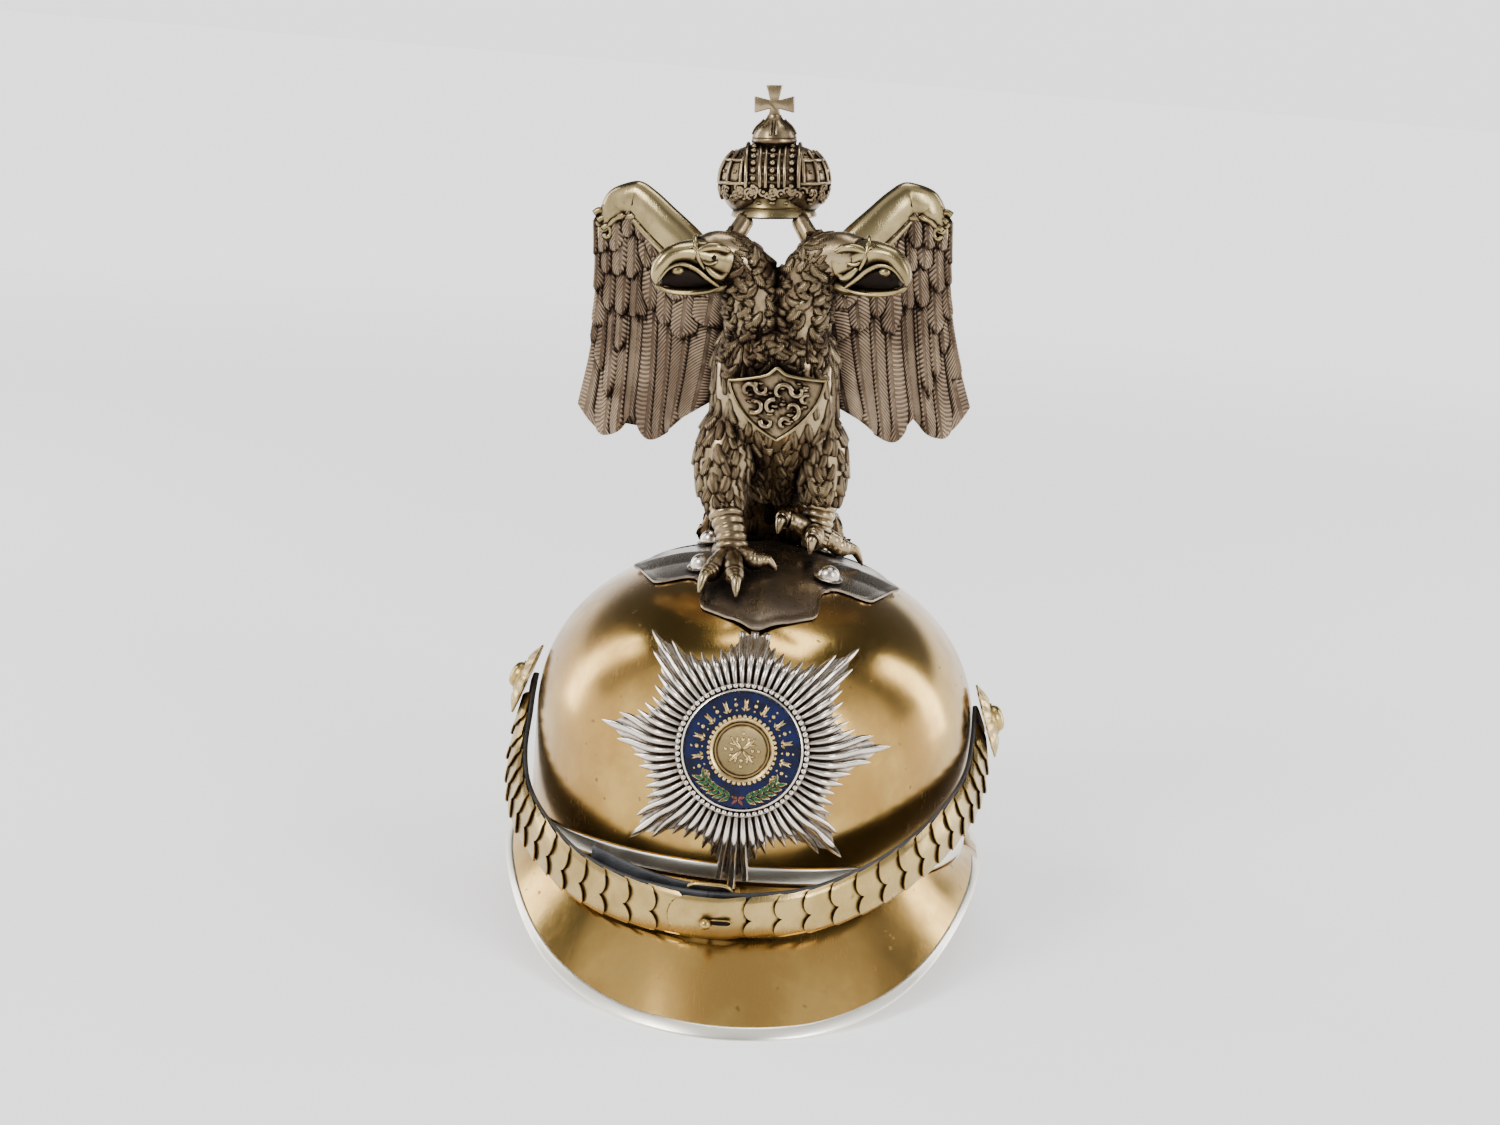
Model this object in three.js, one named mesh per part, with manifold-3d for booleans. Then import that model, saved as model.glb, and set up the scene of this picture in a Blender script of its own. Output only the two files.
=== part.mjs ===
// Cavalry parade helmet with a double-headed eagle. Millimetres, Z up, the front faces -Y, +X is to the
// viewer's right. The helmet stands on the front of its visor and the back of its neck guard, at Z = 0.
import * as THREE from "three";
import { mergeVertices } from "three/addons/utils/BufferGeometryUtils.js";
import Module from "manifold-3d";

const wasm = await Module();
wasm.setup();

// Space left between pieces that touch on the real helmet
const GAP = 0.3;

// Skull
const SKULL_HALF_WIDTH = 97.5;
const SKULL_FRONT = 115;
const SKULL_REAR = 121;
const SKULL_TOP = 156.5;
const SKULL_WIDEST = 82;
const SKULL_WALL = 1.2;
const DOME_FULLNESS = 2.25;
const EDGE_FRONT = 44;
const EDGE_REAR = 42;
const EDGE_EAR = 31;

// Visor and neck guard
const SHEET = 0.9;
const VISOR_REACH = 51;
const GUARD_REACH = 50;
const BRIM_SIDE_REACH = 8;
const BRIM_EAR_HEIGHT = 28;
const BRIM_ROOT_RISE = 0.7;
const BRIM_ROOT_CLEAR = 0.35;
const RIM_WIDTH = 6.4;
const RIM_THICK = 2.9;
const RIM_LIP = 0.8;
const SHEET_INSET = 2;
const RIM_END = 0.022;

// Brow band
const BAND_HEIGHT = 6.5;
const BAND_THICK = 0.9;
const BAND_RISE = 2.6;

// Star
const STAR_HEIGHT = 101;
const STAR_RADIUS = 63;
const STAR_UPRIGHT_SHARE = 0.92;
const STAR_RAYS = 64;
const STAR_POINTS = 8;
const STAR_BEND_RADIUS = 110;
const STAR_FLAT_RADIUS = 29;
const STAR_LIFT = 1.1;
const STAR_TIP_LIFT = 2;
const STAR_THICK = 1.6;
const STAR_RIDGE = 1.3;
const RING_OUTER = 26.5;
const RING_INNER = 23.4;
const RING_THICK = 3;
const ENAMEL_THICK = 1.4;
const MEDALLION_RADIUS = 14;
const MEDALLION_DISH = 11;
const MEDALLION_THICK = 2.6;

// Base plate and its screws
const PLATE_FRONT_REACH = 80;
const PLATE_SIDE_REACH = 60;
const PLATE_LIFT = 0.8;
const PLATE_THICK = 1.1;
const SCREW_X = 27.5;
const SCREW_Y = 26;
const SCREW_HEAD_RADIUS = 4.6;
const SCREW_HEAD_HEIGHT = 3.4;
const SCREW_SHANK_RADIUS = 1.6;
const SCREW_SHANK_LENGTH = 6;

// Eagle
const EAGLE_SHOULDER = 100;
const EAGLE_LEAN = 4.4;
const EAGLE_LEAN_HEIGHT = 40;
const EAGLE_SIDES = 8;
const PROP_RADIUS = 4.2;
const WING_THICK_TOP = 6;
const WING_THICK_END = 1.8;
const SHIELD_WIDTH = 41;
const SHIELD_HEIGHT = 29;
const SHIELD_TOP = 85;
const SHIELD_X = 5;
const SHIELD_THICK = 2;
const SHIELD_BACK = 5;
const SHIELD_REACH = 33.5;
const SHIELD_ROUND = 12;
const SHIELD_SLOPE = 2;

// Crown
const CROWN_BOTTOM = 147;
const CROWN_BAND_RADIUS = 17;
const CROWN_BAND_HEIGHT = 8;
const CROWN_HALF_WIDTH = 23.7;
const CROWN_DEPTH = 17.5;
const CROWN_TOP = 178;
const CROWN_Y = 10;
const CROWN_X = 1.3;
const ORB_RADIUS = 9.9;
const ORB_HEIGHT = 12.5;
const CROSS_HEIGHT = 14;
const CROSS_HALF_WIDTH = 8.5;
const CROSS_THICK = 3;
const CROSS_SINK = 2.2;

// Chin chain
const CHAIN_SIDE_CLEAR = 8;
const CHAIN_FRONT_CLEAR = 23.5;
const CHAIN_HALF_WIDTH = SKULL_HALF_WIDTH + CHAIN_SIDE_CLEAR;
const CHAIN_FRONT = SKULL_FRONT + CHAIN_FRONT_CLEAR;
const CHAIN_LEATHER_WIDTH = 20;
const CHAIN_LEATHER_THICK = 2.2;
const SCALE_COUNT = 15;
const SCALE_WIDTH = 19;
const SCALE_THICK = 0.7;
const SCALE_OVERLAP = 1.42;
const SCALE_ARCH = 1.6;
const SCALE_NOTCH = 2.6;
const CLASP_LENGTH = 30;
const CLASP_TURN_IN = 1.8;
const STUD_RADIUS = 2.1;
const SLOT_LENGTH = 9;
const SLOT_WIDTH = 3.2;
const ROSETTE_RADIUS = 17;
const ROSETTE_DOME_RADIUS = 6;
const ROSETTE_THICK = 1.6;
const ROSETTE_HEIGHT = 8;
const ROSETTE_LEAN = 20;
const ROSETTE_PETALS = 12;
const ROSETTE_INSET = 2.8;
const ROSETTE_X = CHAIN_HALF_WIDTH - ROSETTE_INSET;
const ROSETTE_Y = -5;
const ROSETTE_Z = 92;
const TONGUE_WIDTH = 13;
const TONGUE_THICK = 2;
const TONGUE_INSET = 7.5;
const TONGUE_LENGTH = 70;
const TONGUE_END = 8;
const TONGUE_RAISE = 4;
const BUCKLE_LENGTH = 20;
const BUCKLE_WIDTH = 15;
const BUCKLE_WIRE = 1.9;
const BUCKLE_RAISE = 5;

// Angles at which the skull, the brims and the band have their corners, so that their facets agree
const TURN_STEPS = 32;

// Brim edge heights: turn from the front or the back in degrees, height as a share of the ear height
const BRIM_EDGE = [
  { turn: 0, height: 0 },
  { turn: 20, height: 0.01 },
  { turn: 30, height: 0.08 },
  { turn: 42, height: 0.22 },
  { turn: 52, height: 0.42 },
  { turn: 60, height: 0.62 },
  { turn: 68, height: 0.8 },
  { turn: 79, height: 0.96 },
  { turn: 90, height: 1 },
];

// One quarter of the base plate: turn from a lobe in degrees, reach as a share of the lobe's length
const PLATE_OUTLINE = [
  { turn: 0, reach: 1 },
  { turn: 8, reach: 0.92 },
  { turn: 20, reach: 0.89 },
  { turn: 29, reach: 0.88 },
  { turn: 33, reach: 0.77 },
  { turn: 39, reach: 0.66 },
  { turn: 45, reach: 0.67 },
];

// Chin chain route: turn from the front in degrees, height in mm, inset towards the skull in mm and the tilt of
// its outer face above the horizon in degrees. Its points are chosen by hand, from the left ear to the right.
const CHAIN_ROUTE = [
  { turn: -88, height: 93, inset: 4.2, tilt: 20 },
  { turn: -84, height: 77, inset: 2.6, tilt: 17 },
  { turn: -77, height: 62, inset: 0.6, tilt: 14 },
  { turn: -66, height: 52.5, inset: 0, tilt: 10 },
  { turn: -52, height: 46.5, inset: 0, tilt: 5 },
  { turn: -38, height: 41, inset: 0, tilt: 0 },
  { turn: -24, height: 39, inset: 0, tilt: -6 },
  { turn: -10, height: 39.2, inset: 0, tilt: -12 },
  { turn: 4, height: 40.4, inset: 0, tilt: -13 },
  { turn: 18, height: 43, inset: 0, tilt: -6 },
  { turn: 32, height: 49.5, inset: 0, tilt: 2 },
  { turn: 46, height: 57.5, inset: 0.6, tilt: 8 },
  { turn: 60, height: 65.5, inset: 1.2, tilt: 12 },
  { turn: 72, height: 72, inset: 2, tilt: 15 },
  { turn: 81, height: 80, inset: 3.2, tilt: 18 },
  { turn: 88, height: 93, inset: 4.2, tilt: 20 },
];
const CLASP_TURN = -4;

// A table given as shares of the eagle's shoulder height, in mm
function ofEagle(rows) {
  return rows.map((row) =>
    Object.fromEntries(Object.entries(row).map(([column, share]) => [column, share * EAGLE_SHOULDER])));
}

// Eagle's forms from the middle of the plate's top, as shares of its shoulder height: x, y, z of a section and
// its half width and half depth
const TORSO = ofEagle([
  { x: 0, y: 0.16, z: 0.24, wide: 0.12, deep: 0.09 },
  { x: 0.01, y: 0.12, z: 0.34, wide: 0.19, deep: 0.14 },
  { x: 0.02, y: 0.05, z: 0.5, wide: 0.25, deep: 0.2 },
  { x: 0.025, y: -0.02, z: 0.68, wide: 0.275, deep: 0.24 },
  { x: 0.03, y: -0.04, z: 0.86, wide: 0.27, deep: 0.23 },
  { x: 0.03, y: -0.04, z: 1, wide: 0.21, deep: 0.18 },
  { x: 0.035, y: -0.05, z: 1.09, wide: 0.12, deep: 0.11 },
]);
const NECK_AND_HEAD = ofEagle([
  { x: 0.06, y: -0.07, z: 0.88, wide: 0.12, deep: 0.14 },
  { x: 0.09, y: -0.09, z: 1.04, wide: 0.135, deep: 0.14 },
  { x: 0.12, y: -0.12, z: 1.18, wide: 0.13, deep: 0.125 },
  { x: 0.2, y: -0.15, z: 1.29, wide: 0.115, deep: 0.11 },
  { x: 0.29, y: -0.19, z: 1.33, wide: 0.1, deep: 0.1 },
  { x: 0.37, y: -0.25, z: 1.32, wide: 0.085, deep: 0.085 },
  { x: 0.45, y: -0.31, z: 1.3, wide: 0.055, deep: 0.055 },
  { x: 0.51, y: -0.355, z: 1.28, wide: 0.036, deep: 0.032 },
  { x: 0.54, y: -0.38, z: 1.235, wide: 0.012, deep: 0.012 },
]);
const HEAD_SHIFT = 3.5;
const LEFT_HEAD_SHARE = 0.887;
const JAW = ofEagle([
  { x: 0.3, y: -0.19, z: 1.26, wide: 0.05, deep: 0.05 },
  { x: 0.39, y: -0.26, z: 1.22, wide: 0.04, deep: 0.034 },
  { x: 0.47, y: -0.315, z: 1.195, wide: 0.026, deep: 0.022 },
  { x: 0.51, y: -0.34, z: 1.19, wide: 0.01, deep: 0.01 },
]);
const LEG_FORWARD = ofEagle([
  { x: -0.1, y: 0, z: 0.66, wide: 0.12, deep: 0.13 },
  { x: -0.175, y: -0.08, z: 0.48, wide: 0.135, deep: 0.14 },
  { x: -0.2, y: -0.16, z: 0.33, wide: 0.105, deep: 0.11 },
  { x: -0.185, y: -0.22, z: 0.22, wide: 0.072, deep: 0.072 },
  { x: -0.155, y: -0.28, z: 0.12, wide: 0.062, deep: 0.062 },
  { x: -0.14, y: -0.31, z: 0.02, wide: 0.072, deep: 0.07 },
]);
const LEG_BACK = ofEagle([
  { x: 0.12, y: 0.02, z: 0.66, wide: 0.12, deep: 0.13 },
  { x: 0.2, y: 0.02, z: 0.48, wide: 0.14, deep: 0.14 },
  { x: 0.225, y: 0.01, z: 0.33, wide: 0.115, deep: 0.115 },
  { x: 0.22, y: 0, z: 0.23, wide: 0.075, deep: 0.075 },
  { x: 0.21, y: -0.02, z: 0.13, wide: 0.06, deep: 0.06 },
  { x: 0.2, y: -0.04, z: 0.07, wide: 0.06, deep: 0.06 },
]);
const TAIL = ofEagle([
  { x: 0, y: 0.14, z: 0.34, wide: 0.15, deep: 0.08 },
  { x: 0, y: 0.22, z: 0.24, wide: 0.21, deep: 0.06 },
  { x: 0, y: 0.31, z: 0.14, wide: 0.29, deep: 0.045 },
  { x: 0, y: 0.37, z: 0.02, wide: 0.34, deep: 0.03 },
]);

// Toes, as shares as above: the foot they leave, then the knuckle and the claw's tip, with their heights
// above the plate
const TOE_RADIUS = 3.8;
const CLAW_RADIUS = 1.1;
const TOES = ofEagle([
  { x: -0.15, y: -0.32, z: 0.04, kx: -0.22, ky: -0.46, kz: 0.05, tx: -0.26, ty: -0.56, tz: 0.016 },
  { x: -0.15, y: -0.32, z: 0.04, kx: -0.12, ky: -0.5, kz: 0.05, tx: -0.1, ty: -0.61, tz: 0.016 },
  { x: -0.15, y: -0.32, z: 0.04, kx: -0.05, ky: -0.34, kz: 0.05, tx: 0.05, ty: -0.33, tz: 0.016 },
  { x: -0.15, y: -0.32, z: 0.04, kx: -0.2, ky: -0.19, kz: 0.04, tx: -0.23, ty: -0.12, tz: 0.016 },
  { x: 0.2, y: -0.04, z: 0.1, kx: 0.07, ky: -0.08, kz: 0.17, tx: 0.04, ty: -0.14, tz: 0.12 },
  { x: 0.2, y: -0.05, z: 0.1, kx: 0.2, ky: -0.14, kz: 0.12, tx: 0.185, ty: -0.18, tz: 0.06 },
  { x: 0.21, y: -0.03, z: 0.09, kx: 0.31, ky: 0.02, kz: 0.07, tx: 0.42, ty: 0.08, tz: 0.016 },
  { x: 0.2, y: -0.02, z: 0.08, kx: 0.18, ky: 0.09, kz: 0.05, tx: 0.17, ty: 0.16, tz: 0.016 },
]);

// Right wing, one row for each fan line from the root to the tip: top and bottom ends, as shares as above
const WING = ofEagle([
  { tx: 0.18, tz: 1.26, bx: 0.26, bz: 0.66, y: 0.08 },
  { tx: 0.31, tz: 1.41, bx: 0.4, bz: 0.57, y: 0.11 },
  { tx: 0.42, tz: 1.51, bx: 0.47, bz: 0.5, y: 0.14 },
  { tx: 0.5, tz: 1.58, bx: 0.54, bz: 0.47, y: 0.17 },
  { tx: 0.57, tz: 1.62, bx: 0.63, bz: 0.58, y: 0.2 },
  { tx: 0.64, tz: 1.61, bx: 0.7, bz: 0.49, y: 0.22 },
  { tx: 0.71, tz: 1.57, bx: 0.77, bz: 0.475, y: 0.25 },
  { tx: 0.76, tz: 1.48, bx: 0.88, bz: 0.61, y: 0.28 },
]);
const WING_SWEEP = 12;
const WING_CUP = 6;
const WING_ALONG = 14;
const WING_DOWN = 5;

// Finishes
const finish = (color, roughness, metalness) =>
  new THREE.MeshStandardMaterial({ color, roughness, metalness });
const BRASS = finish(0xb08c50, 0.3, 1);
const SCALE_BRASS = finish(0xb9a064, 0.35, 1);
const WHITE_METAL = finish(0xc8c8be, 0.28, 1);
const SILVER = finish(0x968773, 0.4, 1);
const STAR_SILVER = finish(0xbfb8ac, 0.3, 1);
const GILT = finish(0xb89a58, 0.35, 1);
const BLUE_ENAMEL = finish(0x19235a, 0.15, 0);
const LEATHER = finish(0x23252a, 0.6, 0);

const RIGHT_ANGLE = Math.PI / 2;
const radians = THREE.MathUtils.degToRad;
const mix = THREE.MathUtils.lerp;
const smooth = THREE.MathUtils.smoothstep;

const helmet = new THREE.Group();

// A value read from a table of rows, straight between two rows
function tableValue(rows, key, column, at) {
  let below = rows[0];
  for (const row of rows) {
    if (row[key] > at) {
      return mix(below[column], row[column], (at - below[key]) / (row[key] - below[key]));
    }
    below = row;
  }
  return below[column];
}

// The same surface with only its positions, shared corners merged and its faces pointing out
function bare(geometry) {
  const plain = geometry.clone();
  plain.deleteAttribute("normal");
  plain.deleteAttribute("uv");
  const merged = mergeVertices(plain, 1e-4);
  const position = merged.attributes.position;
  const index = merged.index.array;
  const kept = [];
  let volume = 0;
  const a = new THREE.Vector3();
  const b = new THREE.Vector3();
  const c = new THREE.Vector3();
  for (let i = 0; i < index.length; i += 3) {
    const [p, q, r] = [index[i], index[i + 1], index[i + 2]];
    if (p === q || q === r || r === p) continue;
    kept.push(p, q, r);
    a.fromBufferAttribute(position, p);
    b.fromBufferAttribute(position, q);
    c.fromBufferAttribute(position, r);
    volume += a.dot(b.cross(c));
  }
  if (volume < 0) {
    for (let i = 0; i < kept.length; i += 3) {
      [kept[i], kept[i + 1]] = [kept[i + 1], kept[i]];
    }
  }
  merged.setIndex(kept);
  return merged;
}

function toSolid(geometry) {
  const merged = bare(geometry);
  const mesh = new wasm.Mesh({
    numProp: 3,
    vertProperties: new Float32Array(merged.attributes.position.array),
    triVerts: new Uint32Array(merged.index.array),
  });
  return new wasm.Manifold(mesh);
}

function toGeometry(solid) {
  const mesh = solid.getMesh();
  const geometry = new THREE.BufferGeometry();
  geometry.setAttribute("position", new THREE.BufferAttribute(mesh.vertProperties, 3));
  geometry.setIndex(new THREE.BufferAttribute(mesh.triVerts, 1));
  return geometry;
}

function join(geometries) {
  return toGeometry(geometries.map(toSolid).reduce((whole, piece) => whole.add(piece)));
}

function cut(geometry, cutters) {
  return toGeometry(cutters.map(toSolid).reduce((whole, piece) => whole.subtract(piece), toSolid(geometry)));
}

// Every corner of a geometry moved by place(x, y, z), which returns a Vector3
function bend(geometry, place) {
  const position = geometry.attributes.position;
  for (let i = 0; i < position.count; i += 1) {
    const moved = place(position.getX(i), position.getY(i), position.getZ(i));
    position.setXYZ(i, moved.x, moved.y, moved.z);
  }
  return geometry;
}

function addPiece(name, geometry, material) {
  const mesh = new THREE.Mesh(bare(geometry), material);
  mesh.name = name;
  helmet.add(mesh);
}

// A flat outline carried along a unit length in steps, each point placed by place(x, y, along)
function sweep(outline, steps, place) {
  const shape = new THREE.Shape(outline.map(([x, y]) => new THREE.Vector2(x, y)));
  const geometry = new THREE.ExtrudeGeometry(shape, { depth: 1, steps, bevelEnabled: false });
  return bend(geometry, place);
}

// A thin slab of along x across cells, each point placed by place(along, across, through), all from 0 to 1
function slab(along, across, place) {
  const geometry = new THREE.BoxGeometry(1, 1, 1, along, across, 1);
  return bend(geometry, (x, y, z) => place(x + 0.5, y + 0.5, z + 0.5));
}

// A turned shape, profile given as [radius, height] from the axis to the axis, about the Z axis
function turned(profile, segments) {
  const points = profile.map(([radius, height]) => new THREE.Vector2(radius, height));
  return new THREE.LatheGeometry(points, segments).rotateX(RIGHT_ANGLE);
}

// Skull surface: share of the full plan at a height, point at a turn and height, and point above a place in plan
function skullShare(height) {
  if (height <= SKULL_WIDEST) return 1;
  const rise = Math.min(1, (height - SKULL_WIDEST) / (SKULL_TOP - SKULL_WIDEST));
  return (1 - rise ** DOME_FULLNESS) ** (1 / DOME_FULLNESS);
}

function planPoint(turn, height, share, grow) {
  const depth = Math.cos(turn) > 0 ? SKULL_FRONT : SKULL_REAR;
  const x = (SKULL_HALF_WIDTH * share + grow) * Math.sin(turn);
  return new THREE.Vector3(x, -(depth * share + grow) * Math.cos(turn), height);
}

function skullTopHeight(x, y) {
  const depth = y < 0 ? SKULL_FRONT : SKULL_REAR;
  const share = Math.min(1, Math.hypot(x / SKULL_HALF_WIDTH, y / depth));
  const rise = (1 - share ** DOME_FULLNESS) ** (1 / DOME_FULLNESS);
  return SKULL_WIDEST + rise * (SKULL_TOP - SKULL_WIDEST);
}

function skullEdge(turn) {
  const ends = Math.cos(turn) > 0 ? EDGE_FRONT : EDGE_REAR;
  return ends - (ends - EDGE_EAR) * (1 - Math.abs(Math.cos(turn)));
}

// Skull: a shell turned about Z, stretched to its oval plan and cut by the screw holes
function skullProfile(inset) {
  const rows = 7;
  const profile = [];
  for (let i = 0; i <= rows; i += 1) {
    const angle = (i / rows) * RIGHT_ANGLE;
    const radius = Math.cos(angle) ** (2 / DOME_FULLNESS);
    const rise = Math.sin(angle) ** (2 / DOME_FULLNESS);
    profile.push([
      (SKULL_HALF_WIDTH - inset) * (i === rows ? 0 : radius),
      SKULL_WIDEST + rise * (SKULL_TOP - inset - SKULL_WIDEST),
    ]);
  }
  return profile;
}

function ovalPoint(x, y, z) {
  const turn = Math.atan2(x, -y);
  const depth = Math.cos(turn) > 0 ? SKULL_FRONT : SKULL_REAR;
  const dropShare = z < SKULL_WIDEST ? (SKULL_WIDEST - skullEdge(turn)) / SKULL_WIDEST : 1;
  const height = SKULL_WIDEST - (SKULL_WIDEST - z) * dropShare;
  return new THREE.Vector3(x, (y * depth) / SKULL_HALF_WIDTH, height);
}

function screwPlaces() {
  const places = [];
  for (const sideY of [-1, 1]) {
    for (const sideX of [-1, 1]) {
      places.push([sideX * SCREW_X, sideY * SCREW_Y]);
    }
  }
  return places;
}

function screwHoles() {
  return screwPlaces().map(([x, y]) => {
    const radius = SCREW_SHANK_RADIUS + GAP;
    const hole = new THREE.CylinderGeometry(radius, radius, 4 * SCREW_SHANK_LENGTH, 8);
    return hole.rotateX(RIGHT_ANGLE).translate(x, y, skullTopHeight(x, y));
  });
}

const shell = turned(
  [
    [SKULL_HALF_WIDTH, 0],
    ...skullProfile(0),
    ...skullProfile(SKULL_WALL).reverse(),
    [SKULL_HALF_WIDTH - SKULL_WALL, 0],
    [SKULL_HALF_WIDTH, 0],
  ],
  TURN_STEPS,
);
addPiece("skull", cut(bend(shell, ovalPoint), screwHoles()), BRASS);

// Brims: the visor in front and the neck guard behind are the same kind of sheet with a rim
const BRIMS = {
  visor: { start: -RIGHT_ANGLE, reach: VISOR_REACH, depth: SKULL_FRONT },
  neck_guard: { start: RIGHT_ANGLE, reach: GUARD_REACH, depth: SKULL_REAR },
};

function brimTurn(brim, along) {
  const slack = GAP / SKULL_HALF_WIDTH;
  return mix(brim.start + slack, brim.start + Math.PI - slack, along);
}

function brimPoint(brim, turn, across) {
  const root = planPoint(turn, skullEdge(turn) + BRIM_ROOT_RISE, 1, GAP + BRIM_ROOT_CLEAR);
  const fromMiddle = THREE.MathUtils.radToDeg(Math.acos(Math.min(1, Math.abs(Math.cos(turn)))));
  const edge = new THREE.Vector3(
    (SKULL_HALF_WIDTH + BRIM_SIDE_REACH) * Math.sin(turn),
    -Math.sign(Math.cos(turn) || 1) * (brim.depth + brim.reach) * Math.abs(Math.cos(turn)),
    BRIM_EAR_HEIGHT * tableValue(BRIM_EDGE, "turn", "height", fromMiddle),
  );
  return root.lerp(edge, across);
}

// The point, the direction down the sheet and the direction out of its upper face, taken at the sheet's edge
function brimFrame(brim, turn, across) {
  const step = 0.01;
  const point = brimPoint(brim, turn, across);
  const down = brimPoint(brim, turn, 1).sub(brimPoint(brim, turn, 0)).normalize();
  const side = brimPoint(brim, turn + step, 1).sub(brimPoint(brim, turn - step, 1));
  const face = side.cross(down).normalize();
  if (face.z < 0) face.negate();
  return { point, down, face };
}

function brimSheet(brim, thickness, inset) {
  return slab(TURN_STEPS / 2, 2, (along, row, through) => {
    const turn = brimTurn(brim, along);
    const length = brimPoint(brim, turn, 0).distanceTo(brimPoint(brim, turn, 1));
    const covered = Math.min(0.95, (RIM_WIDTH - RIM_LIP - GAP) / length);
    const across = row === 1 ? 1 - inset / length : row * 2 * (1 - covered);
    const { point, face } = brimFrame(brim, turn, across);
    return point.addScaledVector(face, (through - 0.5) * thickness);
  });
}

// The rim is a channel whose slot takes the sheet's edge; its underside is flat where the helmet stands on it
function brimRim(brim) {
  const half = RIM_THICK / 2;
  const inner = GAP + RIM_LIP - RIM_WIDTH;
  const section = [
    [RIM_LIP + GAP, -half * 0.5],
    [RIM_LIP + GAP, half * 0.5],
    [0, half],
    [inner, half],
    [inner, -half],
    [0, -half],
  ];
  const bar = sweep(section, TURN_STEPS / 2, (out, up, along) => {
    const { point, down, face } = brimFrame(brim, brimTurn(brim, mix(RIM_END, 1 - RIM_END, along)), 1);
    const place = point.addScaledVector(down, out).addScaledVector(face, up);
    return place.setZ(Math.max(place.z, 0));
  });
  return cut(bar, [brimSheet(brim, SHEET + 3 * GAP, SHEET_INSET - 2 * GAP)]);
}

for (const [name, brim] of Object.entries(BRIMS)) {
  addPiece(name, brimSheet(brim, SHEET, SHEET_INSET), BRASS);
  addPiece(`${name}_rim`, brimRim(brim), WHITE_METAL);
}

// Brow band over the joint of skull and visor
const bandOutline = [
  [0, 0],
  [BAND_THICK, 0],
  [BAND_THICK, BAND_HEIGHT],
  [0, BAND_HEIGHT],
];
const browBand = sweep(bandOutline, TURN_STEPS / 2, (out, up, along) => {
  const turn = brimTurn(BRIMS.visor, along);
  return planPoint(turn, skullEdge(turn) + BAND_RISE + up, 1, GAP + out);
});
addPiece("brow_band", browBand, WHITE_METAL);

// Star: a point on the skull's front at a distance right of and above the star's middle
function frontPoint(right, up) {
  const x = STAR_BEND_RADIUS * Math.sin(right / STAR_BEND_RADIUS);
  const steps = 12;
  let height = STAR_HEIGHT;
  for (let i = 0; i < steps; i += 1) {
    const slope = SKULL_FRONT * (skullShare(height + 0.5) - skullShare(height - 0.5));
    height += up / steps / Math.hypot(1, slope);
  }
  const share = skullShare(height);
  const inside = Math.max(0.05, share ** 2 - (x / SKULL_HALF_WIDTH) ** 2);
  return new THREE.Vector3(x, -SKULL_FRONT * Math.sqrt(inside), height);
}

const starMiddle = frontPoint(0, 0);
const starUp = frontPoint(0, 5).sub(frontPoint(0, -5)).normalize();
const starOut = starUp.clone().cross(new THREE.Vector3(-1, 0, 0)).normalize();
const starOutward = starOut.y < 0 ? starOut : starOut.negate();

function starPoint(right, up, lift) {
  const flat = starMiddle.clone().addScaledVector(starUp, up).setX(right);
  const onSkull = frontPoint(right, up);
  const away = smooth(Math.hypot(right, up), STAR_FLAT_RADIUS, STAR_RADIUS * 0.8);
  return flat.lerp(onSkull, away).addScaledVector(starOutward, STAR_LIFT + STAR_TIP_LIFT * away + lift);
}

// Length of a ray: every eighth ray is long and the ones between step down to the middle of the gap. The top
// rays end square at the edge of the base plate.
const plateTip = new THREE.Vector3(0, -PLATE_FRONT_REACH, skullTopHeight(0, -PLATE_FRONT_REACH));
const topRayReach = starMiddle.distanceTo(plateTip) - GAP;

function rayLength(ray) {
  const perPoint = STAR_RAYS / STAR_POINTS;
  const fromPoint = Math.abs(((ray + perPoint / 2) % perPoint) - perPoint / 2) / (perPoint / 2);
  const upright = ray % (STAR_RAYS / 2) === 0 ? STAR_UPRIGHT_SHARE : 1;
  const reach = STAR_RADIUS * upright * (1 - 0.2 * Math.min(1, fromPoint * 2) - 0.13 * fromPoint);
  const atTop = Math.min(ray, STAR_RAYS - ray) <= 1;
  return atTop ? Math.min(reach, topRayReach) : reach;
}

const STAR_RINGS = [STAR_FLAT_RADIUS, STAR_RADIUS * 0.66, STAR_RADIUS];
const starDisc = turned(
  [
    [0, 0],
    ...STAR_RINGS.map((radius) => [radius, 0]),
    ...[...STAR_RINGS].reverse().map((radius) => [radius, 1]),
    [0, 1],
  ],
  STAR_RAYS * 2,
);
bend(starDisc, (x, y, z) => {
  const radius = Math.hypot(x, y);
  const half = Math.round((Math.atan2(x, y) / Math.PI) * STAR_RAYS + 2 * STAR_RAYS) % (2 * STAR_RAYS);
  const onRidge = half % 2 === 0;
  const ray = half / 2;
  const valley = Math.min(rayLength(Math.floor(ray)), rayLength(Math.ceil(ray) % STAR_RAYS)) * 0.86;
  const reach = onRidge ? rayLength(ray) : valley;
  const grown = radius > STAR_FLAT_RADIUS ? mix(STAR_FLAT_RADIUS, reach, (radius - STAR_FLAT_RADIUS)
    / (STAR_RADIUS - STAR_FLAT_RADIUS)) : radius;
  const ridge = onRidge && radius > 1 ? STAR_RIDGE * (1 - 0.5 * smooth(radius, STAR_FLAT_RADIUS, STAR_RADIUS)) : 0;
  const scale = radius > 0 ? grown / radius : 0;
  return starPoint(x * scale, y * scale, z * (STAR_THICK + ridge));
});
addPiece("star_rays", starDisc, STAR_SILVER);

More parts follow.
